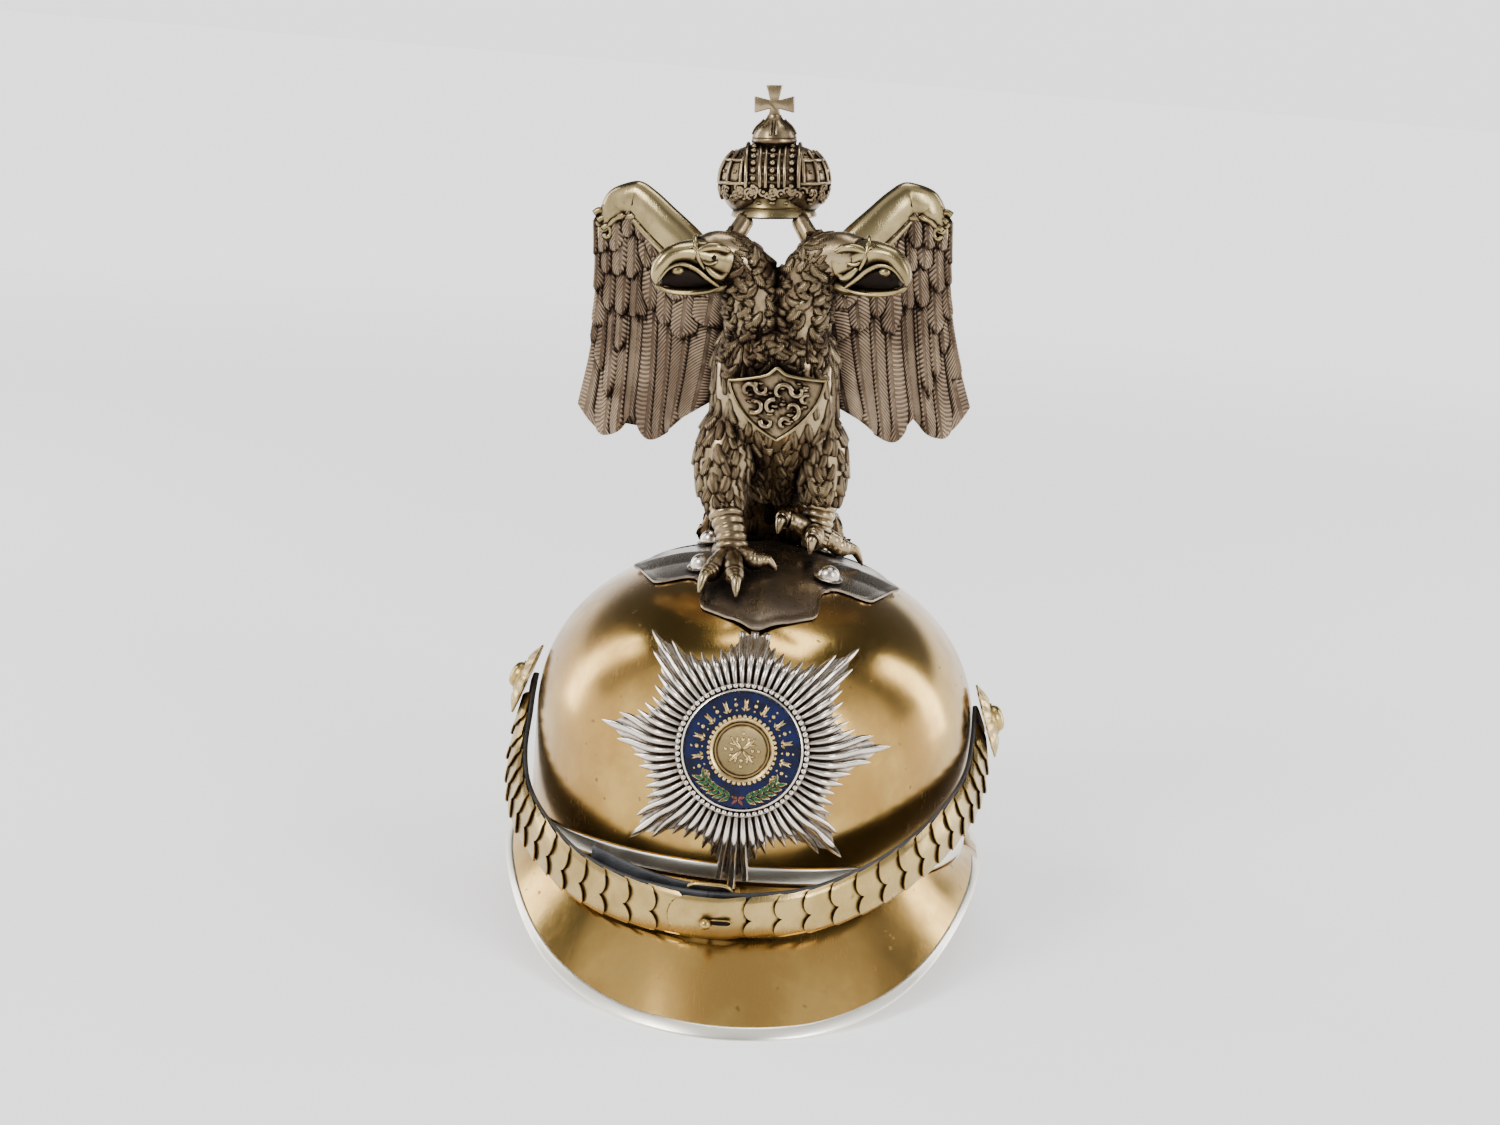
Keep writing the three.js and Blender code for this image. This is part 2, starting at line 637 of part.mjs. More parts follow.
// Pieces seated on the star's flat middle, turned about its axis and set at a height above its face
function onStar(geometry, lift) {
  return bend(geometry, (x, y, z) =>
    starMiddle.clone().addScaledVector(starUp, y).setX(x).addScaledVector(starOutward, STAR_LIFT + lift + z));
}

const starFace = STAR_THICK + STAR_RIDGE + GAP;
const ringWidth = RING_OUTER - RING_INNER;
const ringProfile = [
  [RING_INNER, 0],
  [RING_OUTER, 0],
  [RING_OUTER, RING_THICK * 0.5],
  [RING_OUTER - ringWidth * 0.5, RING_THICK],
  [RING_INNER, RING_THICK * 0.5],
  [RING_INNER, 0],
];
addPiece("star_ring", onStar(turned(ringProfile, 32), starFace), STAR_SILVER);

const enamelProfile = [
  [0, 0],
  [RING_INNER - GAP, 0],
  [RING_INNER - GAP, ENAMEL_THICK],
  [0, ENAMEL_THICK],
];
addPiece("star_enamel", onStar(turned(enamelProfile, 32), starFace), BLUE_ENAMEL);

const medallionProfile = [
  [0, 0],
  [MEDALLION_RADIUS, 0],
  [MEDALLION_RADIUS, MEDALLION_THICK * 0.6],
  [(MEDALLION_RADIUS + MEDALLION_DISH) / 2, MEDALLION_THICK],
  [MEDALLION_DISH, MEDALLION_THICK * 0.5],
  [0, MEDALLION_THICK * 0.5],
];
addPiece("star_medallion", onStar(turned(medallionProfile, 24), starFace + ENAMEL_THICK + GAP), GILT);

// Base plate: a disc drawn out to four lobes and laid over the dome
function plateReach(turn) {
  const quarter = THREE.MathUtils.euclideanModulo(THREE.MathUtils.radToDeg(turn), 90);
  return tableValue(PLATE_OUTLINE, "turn", "reach", Math.min(quarter, 90 - quarter));
}

const PLATE_SEGMENTS = 48;
const PLATE_RINGS = [0.35, 0.68, 1];
const plateDisc = turned(
  [
    [0, 0],
    ...PLATE_RINGS.map((radius) => [radius, 0]),
    ...[...PLATE_RINGS].reverse().map((radius) => [radius, 1]),
    [0, 1],
  ],
  PLATE_SEGMENTS,
);
bend(plateDisc, (x, y, z) => {
  const reach = plateReach(Math.atan2(x, -y));
  const px = x * reach * PLATE_SIDE_REACH;
  const py = y * reach * PLATE_FRONT_REACH;
  return new THREE.Vector3(px, py, skullTopHeight(px, py) + PLATE_LIFT + z * PLATE_THICK);
});
addPiece("base_plate", cut(plateDisc, screwHoles()), SILVER);

// Domed screws through plate and skull
screwPlaces().forEach(([x, y], i) => {
  const head = [
    [0, -SCREW_SHANK_LENGTH],
    [SCREW_SHANK_RADIUS, -SCREW_SHANK_LENGTH],
    [SCREW_SHANK_RADIUS, 0],
    [SCREW_HEAD_RADIUS, 0],
    [SCREW_HEAD_RADIUS * 0.92, SCREW_HEAD_HEIGHT * 0.4],
    [SCREW_HEAD_RADIUS * 0.6, SCREW_HEAD_HEIGHT * 0.85],
    [0, SCREW_HEAD_HEIGHT],
  ];
  const seat = SCREW_HEAD_RADIUS * 0.35 + GAP;
  const height = skullTopHeight(x, y) + PLATE_LIFT + PLATE_THICK + seat;
  addPiece(`plate_screw_${i + 1}`, turned(head, 8).translate(x, y, height), SILVER);
});

// Eagle: limbs are lofted through rows of oval sections, in the eagle's own frame above the plate
const EAGLE_BASE = SKULL_TOP + PLATE_LIFT + PLATE_THICK + GAP;

function loft(rows, steps, grow = 0) {
  const route = new THREE.CatmullRomCurve3(rows.map((row) => new THREE.Vector3(row.x, row.y, row.z)));
  const sizes = new THREE.CatmullRomCurve3(rows.map((row) => new THREE.Vector3(row.wide, row.deep, 0)));
  const tube = new THREE.CylinderGeometry(1, 1, 1, EAGLE_SIDES, steps);
  return bend(tube, (x, y, z) => {
    const at = THREE.MathUtils.clamp(y + 0.5, 0, 1);
    const size = sizes.getPoint(at);
    const along = route.getTangent(at);
    const side = new THREE.Vector3(0, 1, 0).cross(along).normalize();
    const front = along.clone().cross(side);
    return route
      .getPoint(at)
      .addScaledVector(side, x * (size.x + grow))
      .addScaledVector(front, z * (size.y + grow));
  });
}

// The whole eagle leans to the viewer's left from its ankles up
function leanEagle(geometry) {
  return bend(geometry, (x, y, z) => {
    const turn = radians(EAGLE_LEAN) * smooth(z, 0, EAGLE_LEAN_HEIGHT);
    return new THREE.Vector3(
      x * Math.cos(turn) - z * Math.sin(turn),
      y,
      EAGLE_BASE + x * Math.sin(turn) + z * Math.cos(turn),
    );
  });
}

// Height of the plate's top below the eagle's frame at a place in plan
function plateDrop(x, y) {
  return skullTopHeight(x, y) - SKULL_TOP;
}

function toeRows(toe) {
  const heel = { x: toe.x, y: toe.y, z: toe.z, wide: TOE_RADIUS + 1, deep: TOE_RADIUS + 1 };
  const knuckle = {
    x: toe.kx, y: toe.ky, z: plateDrop(toe.kx, toe.ky) + toe.kz, wide: TOE_RADIUS, deep: TOE_RADIUS,
  };
  const claw = {
    x: toe.tx, y: toe.ty, z: plateDrop(toe.tx, toe.ty) + toe.tz, wide: CLAW_RADIUS, deep: CLAW_RADIUS,
  };
  const middle = {
    x: (knuckle.x + claw.x) / 2,
    y: (knuckle.y + claw.y) / 2,
    z: (knuckle.z + claw.z) / 2 + 1,
    wide: TOE_RADIUS * 0.75,
    deep: TOE_RADIUS * 0.75,
  };
  return [heel, knuckle, middle, claw];
}

// Rows of a neck or jaw on one side: the left head is turned more to the front, so it reaches less far aside
function headRows(rows, side) {
  const share = side < 0 ? -LEFT_HEAD_SHARE : 1;
  return rows.map((row) => ({ ...row, x: row.x * share + HEAD_SHIFT }));
}

// The two props lean inwards from the necks and end just under the crown's band
function prop(side) {
  const foot = new THREE.Vector3(side * 0.2, -0.1, 1.34).multiplyScalar(EAGLE_SHOULDER);
  foot.x += CROWN_X;
  const reach = CROWN_BAND_RADIUS - 1;
  const head = new THREE.Vector3(side * reach * 0.7 + CROWN_X, CROWN_Y - reach * 0.7, CROWN_BOTTOM + 2);
  const post = new THREE.CylinderGeometry(PROP_RADIUS, PROP_RADIUS, 1, 8, 1);
  return bend(post, (x, y, z) => {
    const place = foot.clone().lerp(head, y + 0.5).add(new THREE.Vector3(x, z, 0));
    return place.setZ(Math.min(place.z, CROWN_BOTTOM - GAP));
  });
}

const castParts = [
  loft(TORSO, 8),
  loft(LEG_FORWARD, 7),
  loft(LEG_BACK, 7),
  loft(TAIL, 4),
  ...TOES.map((toe) => loft(toeRows(toe), 3)),
];
for (const side of [-1, 1]) {
  castParts.push(loft(headRows(NECK_AND_HEAD, side), 11), loft(headRows(JAW, side), 3), prop(side));
}

function plateTopSkin() {
  const skin = slab(12, 12, (along, across, through) => {
    const x = mix(-1.15, 1.15, along) * PLATE_SIDE_REACH;
    const y = mix(-1.1, 1.1, across) * PLATE_FRONT_REACH;
    const top = plateDrop(x, y);
    return new THREE.Vector3(x, y, through > 0.5 ? top : top - PLATE_SIDE_REACH / 2);
  });
  return skin;
}

addPiece("eagle", leanEagle(cut(join(castParts), [plateTopSkin()])), SILVER);

// Wings: a cupped fan of feathers behind the shoulders, cut clear of the body
function wingPoint(across, down, through, side) {
  const at = across * (WING.length - 1);
  const rows = WING.map((row, index) => ({ ...row, index }));
  const read = (column) => tableValue(rows, "index", column, at);
  const thick = mix(WING_THICK_TOP, WING_THICK_END, Math.min(1, down * 2.2));
  const bow = Math.sin(Math.PI * Math.min(1, down * 0.9)) * across;
  return new THREE.Vector3(
    side * (mix(read("tx"), read("bx"), down ** 1.6) - bow * 1.5),
    read("y") + WING_SWEEP * down * across - WING_CUP * bow + (through - 0.5) * thick,
    mix(read("tz"), read("bz"), down),
  );
}

function wing(side) {
  const fan = slab(WING_ALONG, WING_DOWN, (across, down, through) => wingPoint(across, down, through, side));
  const clear = [loft(TORSO, 8, GAP), loft(headRows(NECK_AND_HEAD, side), 11, GAP)];
  const legs = [loft(LEG_FORWARD, 7, GAP), loft(LEG_BACK, 7, GAP)];
  return leanEagle(cut(fan, [...clear, ...legs]));
}

addPiece("wing_left", wing(-1), SILVER);
addPiece("wing_right", wing(1), SILVER);

// Chest shield: ogee top, pointed foot, curved round the breast
function shieldOutline() {
  const shape = new THREE.Shape();
  const half = SHIELD_WIDTH / 2;
  shape.moveTo(0, 0);
  shape.quadraticCurveTo(half * 0.45, -SHIELD_HEIGHT * 0.2, half, -SHIELD_HEIGHT * 0.12);
  shape.quadraticCurveTo(half * 0.88, -SHIELD_HEIGHT * 0.6, 0, -SHIELD_HEIGHT);
  shape.quadraticCurveTo(-half * 0.88, -SHIELD_HEIGHT * 0.6, -half, -SHIELD_HEIGHT * 0.12);
  shape.quadraticCurveTo(-half * 0.45, -SHIELD_HEIGHT * 0.2, 0, 0);
  return shape;
}

const shieldPlate = new THREE.ExtrudeGeometry(shieldOutline(), {
  depth: SHIELD_THICK + SHIELD_BACK, steps: 1, bevelEnabled: false, curveSegments: 4,
});
bend(shieldPlate, (x, y, z) => {
  const round = (x / SHIELD_WIDTH) ** 2 * SHIELD_ROUND;
  return new THREE.Vector3(SHIELD_X + x, -SHIELD_REACH + round + z - (y / SHIELD_HEIGHT) * SHIELD_SLOPE, SHIELD_TOP + y);
});
const bodyClear = [
  loft(TORSO, 8, GAP),
  loft(LEG_FORWARD, 7, GAP),
  loft(LEG_BACK, 7, GAP),
  loft(headRows(NECK_AND_HEAD, 1), 11, GAP),
  loft(headRows(NECK_AND_HEAD, -1), 11, GAP),
];
addPiece("chest_shield", leanEagle(cut(shieldPlate, bodyClear)), SILVER);

// Crown: a band, two swelling lobes and an arch from front to back, open below
const lobeHeight = (CROWN_TOP - CROWN_BOTTOM) * 0.5;
const lobeMiddle = CROWN_TOP - lobeHeight - 0.5;
const lobeHalfWidth = CROWN_HALF_WIDTH * 0.62;
const lobes = [-1, 1].map((side) => {
  const ball = new THREE.SphereGeometry(1, 12, 8).rotateX(RIGHT_ANGLE);
  ball.scale(lobeHalfWidth, CROWN_DEPTH, lobeHeight);
  return ball.translate(side * (CROWN_HALF_WIDTH - lobeHalfWidth), 0, lobeMiddle);
});
const crownBand = turned(
  [
    [0, CROWN_BOTTOM],
    [CROWN_BAND_RADIUS, CROWN_BOTTOM],
    [CROWN_BAND_RADIUS + 1, CROWN_BOTTOM + 1.2],
    [CROWN_BAND_RADIUS, CROWN_BOTTOM + 2.2],
    [CROWN_BAND_RADIUS, CROWN_BOTTOM + CROWN_BAND_HEIGHT - 2.2],
    [CROWN_BAND_RADIUS + 1, CROWN_BOTTOM + CROWN_BAND_HEIGHT - 1.2],
    [CROWN_BAND_RADIUS, CROWN_BOTTOM + CROWN_BAND_HEIGHT],
    [0, CROWN_BOTTOM + CROWN_BAND_HEIGHT + 2],
  ],
  20,
);
const archRadius = CROWN_DEPTH + 1;
const arch = new THREE.CylinderGeometry(1, 1, CROWN_BAND_RADIUS * 0.42, 20)
  .rotateZ(RIGHT_ANGLE)
  .scale(1, archRadius, CROWN_TOP - lobeMiddle + 0.6)
  .translate(0, 0, lobeMiddle);
const crownHollow = new THREE.CylinderGeometry(
  CROWN_BAND_RADIUS - 2, CROWN_BAND_RADIUS - 2, 2 * CROWN_BAND_HEIGHT, 16,
).rotateX(RIGHT_ANGLE).translate(0, 0, CROWN_BOTTOM);
const crown = cut(join([crownBand, ...lobes, arch]), [crownHollow]).translate(CROWN_X, CROWN_Y, 0);
addPiece("crown", leanEagle(crown), SILVER);

// Orb and cross
const orbBottom = CROWN_TOP + 0.6 + GAP;
const orbTop = orbBottom + ORB_HEIGHT;
const orb = turned(
  [
    [0, orbBottom],
    [ORB_RADIUS * 0.6, orbBottom],
    [ORB_RADIUS, orbBottom + ORB_HEIGHT * 0.2],
    [ORB_RADIUS * 0.98, orbBottom + ORB_HEIGHT * 0.4],
    [ORB_RADIUS * 0.75, orbBottom + ORB_HEIGHT * 0.7],
    [ORB_RADIUS * 0.3, orbBottom + ORB_HEIGHT * 0.92],
    [ORB_RADIUS * 0.25, orbTop + 1],
    [0, orbTop + 1],
  ],
  16,
);

// A cross whose four arms widen towards their ends
function crossOutline() {
  const waist = CROSS_HALF_WIDTH * 0.2;
  const flare = CROSS_HALF_WIDTH * 0.52;
  const middle = CROSS_HEIGHT * 0.5;
  const corners = [];
  for (let arm = 0; arm < 4; arm += 1) {
    const reach = arm % 2 === 0 ? CROSS_HEIGHT / 2 : CROSS_HALF_WIDTH;
    const turn = arm * RIGHT_ANGLE;
    for (const [across, along] of [[-waist, waist], [-flare, reach], [flare, reach], [waist, waist]]) {
      if (across === waist && along === waist) continue;
      corners.push(new THREE.Vector2(across, along).rotateAround(new THREE.Vector2(), -turn));
    }
  }
  return new THREE.Shape(corners.map((corner) => corner.add(new THREE.Vector2(0, middle))));
}

const cross = new THREE.ExtrudeGeometry(crossOutline(), { depth: CROSS_THICK, steps: 1, bevelEnabled: false })
  .translate(0, 0, -CROSS_THICK / 2)
  .rotateX(RIGHT_ANGLE)
  .translate(0, 0, orbTop - CROSS_SINK);
addPiece("crown_orb", leanEagle(join([orb, cross]).translate(CROWN_X, CROWN_Y, 0)), SILVER);

// Chin chain: one route from ear to ear, with a frame of its run, its outer face and its width
const chainPoints = CHAIN_ROUTE.map(({ turn, height, inset }) => new THREE.Vector3(
  (CHAIN_HALF_WIDTH - inset) * Math.sin(radians(turn)),
  -(CHAIN_FRONT - inset) * Math.cos(radians(turn)),
  height,
));
const chainRoute = new THREE.CatmullRomCurve3(chainPoints);
chainRoute.arcLengthDivisions = 400;
const chainLength = chainRoute.getLength();

function chainFrame(distance) {
  const at = THREE.MathUtils.clamp(distance / chainLength, 0, 1);
  const point = chainRoute.getPointAt(at);
  const run = chainRoute.getTangentAt(at);
  const turn = Math.atan2(point.x / CHAIN_HALF_WIDTH, -point.y / CHAIN_FRONT);
  const tilt = radians(tableValue(CHAIN_ROUTE, "turn", "tilt", THREE.MathUtils.radToDeg(turn)));
  const face = new THREE.Vector3(
    Math.sin(turn) * CHAIN_FRONT,
    -Math.cos(turn) * CHAIN_HALF_WIDTH,
    0,
  ).normalize().multiplyScalar(Math.cos(tilt)).setZ(Math.sin(tilt));
  face.addScaledVector(run, -face.dot(run)).normalize();
  return { point, run, face, width: face.clone().cross(run) };
}

function onChain(distance, across, lift) {
  const { point, face, width } = chainFrame(distance);
  return point.addScaledVector(width, across).addScaledVector(face, lift);
}

// Distance along the route of the clasp's middle
let claspAt = 0;
for (let at = 0; at < chainLength; at += 0.5) {
  const point = chainRoute.getPointAt(at / chainLength);
  const turn = THREE.MathUtils.radToDeg(Math.atan2(point.x / CHAIN_HALF_WIDTH, -point.y / CHAIN_FRONT));
  if (turn < CLASP_TURN) claspAt = at;
}

// Leather backing, one strap for each half
function leatherStrap(from, to, steps) {
  const half = CHAIN_LEATHER_WIDTH / 2;
  const outline = [
    [-half, -CHAIN_LEATHER_THICK],
    [half, -CHAIN_LEATHER_THICK],
    [half, 0],
    [-half, 0],
  ];
  return sweep(outline, steps, (across, lift, along) => onChain(mix(from, to, along), across, lift));
}

const STRAP_STEPS = 22;
addPiece("chain_leather_left", leatherStrap(0, claspAt - GAP / 2, STRAP_STEPS), LEATHER);
addPiece("chain_leather_right", leatherStrap(claspAt + GAP / 2, chainLength, STRAP_STEPS), LEATHER);

// Scales: each is fixed at its ear side and lies over the next one towards the clasp, its free edge in two lobes
function archLift(across) {
  return SCALE_ARCH * (1 - (2 * across / SCALE_WIDTH) ** 2);
}

function scalePlate(start, pitch, direction) {
  const slope = (SCALE_THICK + GAP * 1.5) / pitch;
  return slab(1, 6, (along, across, through) => {
    const offset = (across - 0.5) * SCALE_WIDTH;
    const lobe = Math.abs(Math.sin(2 * Math.PI * across));
    const full = pitch * SCALE_OVERLAP - SCALE_NOTCH * (1 - Math.sqrt(lobe));
    const run = along * full;
    const lift = GAP + archLift(offset) + slope * run + through * SCALE_THICK;
    return onChain(start + direction * run, offset, lift);
  });
}

const claspHalf = CLASP_LENGTH / 2;
const EAR_START = 9;
const halves = [
  { name: "left", from: EAR_START, to: claspAt - claspHalf * 0.55, direction: 1 },
  { name: "right", from: chainLength - EAR_START, to: claspAt + claspHalf * 0.95, direction: -1 },
];
for (const { name, from, to, direction } of halves) {
  const pitch = Math.abs(to - from) / (SCALE_COUNT + SCALE_OVERLAP - 1);
  for (let i = 0; i < SCALE_COUNT; i += 1) {
    const label = String(i + 1).padStart(2, "0");
    const plate = scalePlate(from + direction * pitch * i, pitch, direction);
    addPiece(`scale_${name}_${label}`, plate, SCALE_BRASS);
  }
}

// Clasp: the right half's end plate with a slot, lying over the left half's last scale, and the stud in the slot
const claspLift = GAP + SCALE_THICK * 2 + GAP * 3.5;
function claspPlate() {
  const plate = slab(6, 6, (along, across, through) => {
    const offset = (across - 0.5) * SCALE_WIDTH;
    const round = Math.sqrt(1 - (2 * across - 1) ** 2 * 0.98);
    const start = claspAt - claspHalf + SCALE_WIDTH * 0.4 * (1 - round);
    const run = mix(start, claspAt + claspHalf, along);
    const tuck = CLASP_TURN_IN * smooth(along, 0.6, 1);
    return onChain(run, offset, archLift(offset) + claspLift - tuck + through * SCALE_THICK);
  });
  const slot = sweep(
    [
      [-SLOT_WIDTH / 2, -SLOT_WIDTH / 2],
      [SLOT_LENGTH, -SLOT_WIDTH / 2],
      [SLOT_LENGTH, SLOT_WIDTH / 2],
      [-SLOT_WIDTH / 2, SLOT_WIDTH / 2],
    ],
    1,
    (along, across, through) => onChain(claspAt + along, across, mix(1, 9, through)),
  );
  return cut(plate, [slot]);
}
addPiece("clasp_plate", claspPlate(), SCALE_BRASS);

function stud() {
  const head = claspLift + SCALE_ARCH + SCALE_THICK;
  const profile = [
    [0, GAP],
    [STUD_RADIUS * 0.55, GAP],
    [STUD_RADIUS * 0.55, head],
    [STUD_RADIUS * 0.95, head + STUD_RADIUS * 0.5],
    [STUD_RADIUS * 0.75, head + STUD_RADIUS * 1.3],
    [0, head + STUD_RADIUS * 1.7],
  ];
  return bend(turned(profile, 10), (x, y, z) => onChain(claspAt + x, y, z));
}
addPiece("clasp_stud", stud(), SCALE_BRASS);

// Side rosettes: a scalloped plate with a dome, leaning in at the top
for (const [name, side] of [["left", -1], ["right", 1]]) {
  const profile = [
    [0, 0],
    [ROSETTE_RADIUS, 0],
    [ROSETTE_RADIUS, ROSETTE_THICK * 0.5],
    [ROSETTE_RADIUS * 0.5, ROSETTE_THICK * 2],
    [ROSETTE_DOME_RADIUS, ROSETTE_HEIGHT * 0.6],
    [ROSETTE_DOME_RADIUS * 0.6, ROSETTE_HEIGHT * 0.92],
    [0, ROSETTE_HEIGHT],
  ];
  const rosette = turned(profile, ROSETTE_PETALS * 2);
  bend(rosette, (x, y, z) => {
    const radius = Math.hypot(x, y);
    const petal = Math.abs(Math.cos((Math.atan2(y, x) * ROSETTE_PETALS) / 2));
    const scallop = radius > ROSETTE_RADIUS * 0.9 ? mix(0.9, 1, petal) : 1;
    return new THREE.Vector3(x * scallop, y * scallop, z);
  });
  rosette.rotateY(RIGHT_ANGLE - radians(ROSETTE_LEAN)).scale(side, 1, 1);
  addPiece(`rosette_${name}`, rosette.translate(side * ROSETTE_X, ROSETTE_Y, ROSETTE_Z), SCALE_BRASS);
}

// Adjusting strap: doubled leather inside the left half, and its wire buckle near the clasp
const tongueTo = claspAt + TONGUE_END;
const tongueFrom = tongueTo - TONGUE_LENGTH;
const tongueOutline = [
  [-TONGUE_WIDTH / 2, 0],
  [TONGUE_WIDTH / 2, 0],
  [TONGUE_WIDTH / 2, TONGUE_THICK],
  [-TONGUE_WIDTH / 2, TONGUE_THICK],
];
const tongue = sweep(tongueOutline, 12, (across, lift, along) =>
  onChain(mix(tongueFrom, tongueTo, along), across + TONGUE_RAISE, lift - TONGUE_INSET));
addPiece("strap_tongue", tongue, LEATHER);

function wireFrame() {
  const half = BUCKLE_LENGTH / 2;
  const high = BUCKLE_WIDTH / 2;
  const wire = BUCKLE_WIRE;
  const bar = (x, y, z) => new THREE.BoxGeometry(x, y, z);
  const outer = bar(BUCKLE_LENGTH, BUCKLE_WIDTH, wire).translate(0, 0, 0);
  const inner = bar(2 * (half - wire), 2 * (high - wire), 3 * wire);
  return cut(outer, [inner]);
}
const buckle = bend(wireFrame(), (x, y, z) =>
  onChain(claspAt + x, y + BUCKLE_RAISE, z - TONGUE_INSET + TONGUE_THICK + GAP * 3 + BUCKLE_WIRE / 2));
addPiece("buckle", buckle, SCALE_BRASS);

// The origin is the middle of the underside
const whole = new THREE.Box3().setFromObject(helmet);
const middle = whole.getCenter(new THREE.Vector3());
for (const piece of helmet.children) piece.geometry.translate(-middle.x, -middle.y, -whole.min.z);

export default helmet;
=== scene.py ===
import math
import random

import bmesh
import bpy
from mathutils import Matrix, Quaternion, Vector
from mathutils.bvhtree import BVHTree


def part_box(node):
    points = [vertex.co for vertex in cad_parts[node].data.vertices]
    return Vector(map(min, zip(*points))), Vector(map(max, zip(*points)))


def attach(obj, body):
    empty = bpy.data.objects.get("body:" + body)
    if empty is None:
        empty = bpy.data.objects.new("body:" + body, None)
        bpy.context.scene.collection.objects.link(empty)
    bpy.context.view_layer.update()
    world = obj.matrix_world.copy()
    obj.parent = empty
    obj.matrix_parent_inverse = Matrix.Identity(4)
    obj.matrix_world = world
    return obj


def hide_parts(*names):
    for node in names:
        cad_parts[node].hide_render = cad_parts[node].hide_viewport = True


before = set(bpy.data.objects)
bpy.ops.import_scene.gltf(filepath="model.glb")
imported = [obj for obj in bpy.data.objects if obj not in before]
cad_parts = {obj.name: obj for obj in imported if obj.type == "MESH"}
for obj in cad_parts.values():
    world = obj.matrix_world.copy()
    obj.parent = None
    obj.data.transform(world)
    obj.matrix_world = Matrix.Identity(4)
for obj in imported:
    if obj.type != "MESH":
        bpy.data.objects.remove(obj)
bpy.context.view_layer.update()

# Lengths are in millimetres, in the frame of the skull's axis, until a piece is finished
MM = 0.001
SKULL_FRONT = 115
SHIFT = Vector((0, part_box("skull")[0].y / MM + SKULL_FRONT, 0))

# Skull
SKULL_HALF_WIDTH = 97.5
SKULL_REAR = 121
SKULL_TOP = 156.5
SKULL_WIDEST = 82
SKULL_WALL = 1.2
DOME_FULLNESS = 2.25
EDGE_FRONT = 44
EDGE_REAR = 42
EDGE_EAR = 31

# Visor, neck guard and brow band
VISOR_REACH = 51
GUARD_REACH = 50
BRIM_SIDE_REACH = 8
BRIM_EAR_HEIGHT = 28
BRIM_BULGE = 0.7
SHEET = 0.9
RIM_WIDTH = 6.4
RIM_THICK = 2.9
BAND_HEIGHT = 6.5
BAND_RISE = 2.6

# Star
STAR_HEIGHT = 101
STAR_RADIUS = 63
STAR_RAYS = 64
STAR_POINTS = 8
STAR_BEND_RADIUS = 110
STAR_FLAT_RADIUS = 29
STAR_FACE = 3.2
RING_OUTER = 26.5
RING_INNER = 23.4

# Base plate and screws
PLATE_FRONT_REACH = 80
PLATE_SIDE_REACH = 60
PLATE_LIFT = 0.8
PLATE_THICK = 1.1
SCREW_X = 27.5
SCREW_Y = 26

# Eagle and crown
EAGLE_BASE = SKULL_TOP + PLATE_LIFT + PLATE_THICK + 0.3
EAGLE_LEAN = math.radians(4.4)
EAGLE_LEAN_HEIGHT = 40
HEAD_SHIFT = 3.5
LEFT_HEAD_SHARE = 0.887
LEFT_BEAK_BACK = 6.1
SHIELD_X = 5
SHIELD_TOP = 85
CROWN_BOTTOM = 147
CROWN_TOP = 178
CROWN_X = 1.3
CROWN_Y = 10
CROWN_BAND_RADIUS = 17

# Chin chain
CHAIN_HALF_WIDTH = 105.5
CHAIN_FRONT = 138.5
SCALE_COUNT = 15
SCALE_WIDTH = 19
SCALE_THICK = 0.7
SCALE_OVERLAP = 1.42
SCALE_ARCH = 1.6
SCALE_NOTCH = 3.1
CLASP_LENGTH = 30

# Height of a brim's edge: turn from the front or back in degrees, share of the ear height
BRIM_EDGE = [
    (0, 0), (20, 0.01), (30, 0.08), (42, 0.22), (52, 0.42), (60, 0.62), (68, 0.8), (79, 0.96), (90, 1),
]
# A quarter of the base plate: turn from a lobe in degrees, share of the lobe's length
PLATE_OUTLINE = [(0, 1), (8, 0.92), (20, 0.89), (29, 0.88), (33, 0.77), (39, 0.66), (45, 0.67)]
# Chin chain route: turn in degrees, height, inset, tilt of the outer face in degrees
CHAIN_ROUTE = [
    (-88, 93, 4.2, 20), (-84, 77, 2.6, 17), (-77, 62, 0.6, 14), (-66, 52.5, 0, 10),
    (-52, 46.5, 0, 5), (-38, 41, 0, 0), (-24, 39, 0, -6), (-10, 39.2, 0, -12),
    (4, 40.4, 0, -13), (18, 43, 0, -6), (32, 49.5, 0, 2), (46, 57.5, 0.6, 8),
    (60, 65.5, 1.2, 12), (72, 72, 2, 15), (81, 80, 3.2, 18), (88, 93, 4.2, 20),
]
# Eagle's forms: x, y, z of a section, its half width and half depth
TORSO = [
    (0, 16, 24, 12, 9), (1, 12, 34, 19, 14), (2, 5, 50, 25, 20), (2.5, -2, 68, 27.5, 24),
    (3, -4, 86, 27, 23), (3, -4, 100, 21, 18), (3.5, -5, 109, 12, 11),
]
NECK = [
    (6, -7, 88, 12, 14), (9, -9, 104, 13.5, 14), (12, -12, 118, 13, 12.5), (20, -15, 129, 11.5, 11),
    (27, -18, 132.6, 10.4, 10.4), (33, -22, 132.6, 9.2, 9.4), (37, -25, 133, 7.6, 8),
]
BEAK = [
    (29, -19.5, 130, 9.6, 9.8), (34, -22.6, 131.6, 8.4, 8.6), (39, -26, 133.5, 6.4, 7.4),
    (44.4, -29.6, 134.5, 4.7, 6.4), (50, -33.4, 133, 3.9, 5.4), (53.6, -36, 129, 3.4, 4.0),
    (55.2, -37.4, 125, 2.2, 2.4), (55, -37.8, 121.6, 0.5, 0.6),
]
JAW = [
    (25, -16, 121, 4.6, 6), (30, -19.5, 118.8, 3.0, 5.2), (36, -23.6, 118, 2.0, 4.6),
    (42, -28, 117.9, 1.7, 4.2), (49, -33, 118.6, 1.5, 3.2), (54, -36.5, 120.1, 1.0, 1.8),
    (55.4, -37.5, 121.2, 0.4, 0.6),
]
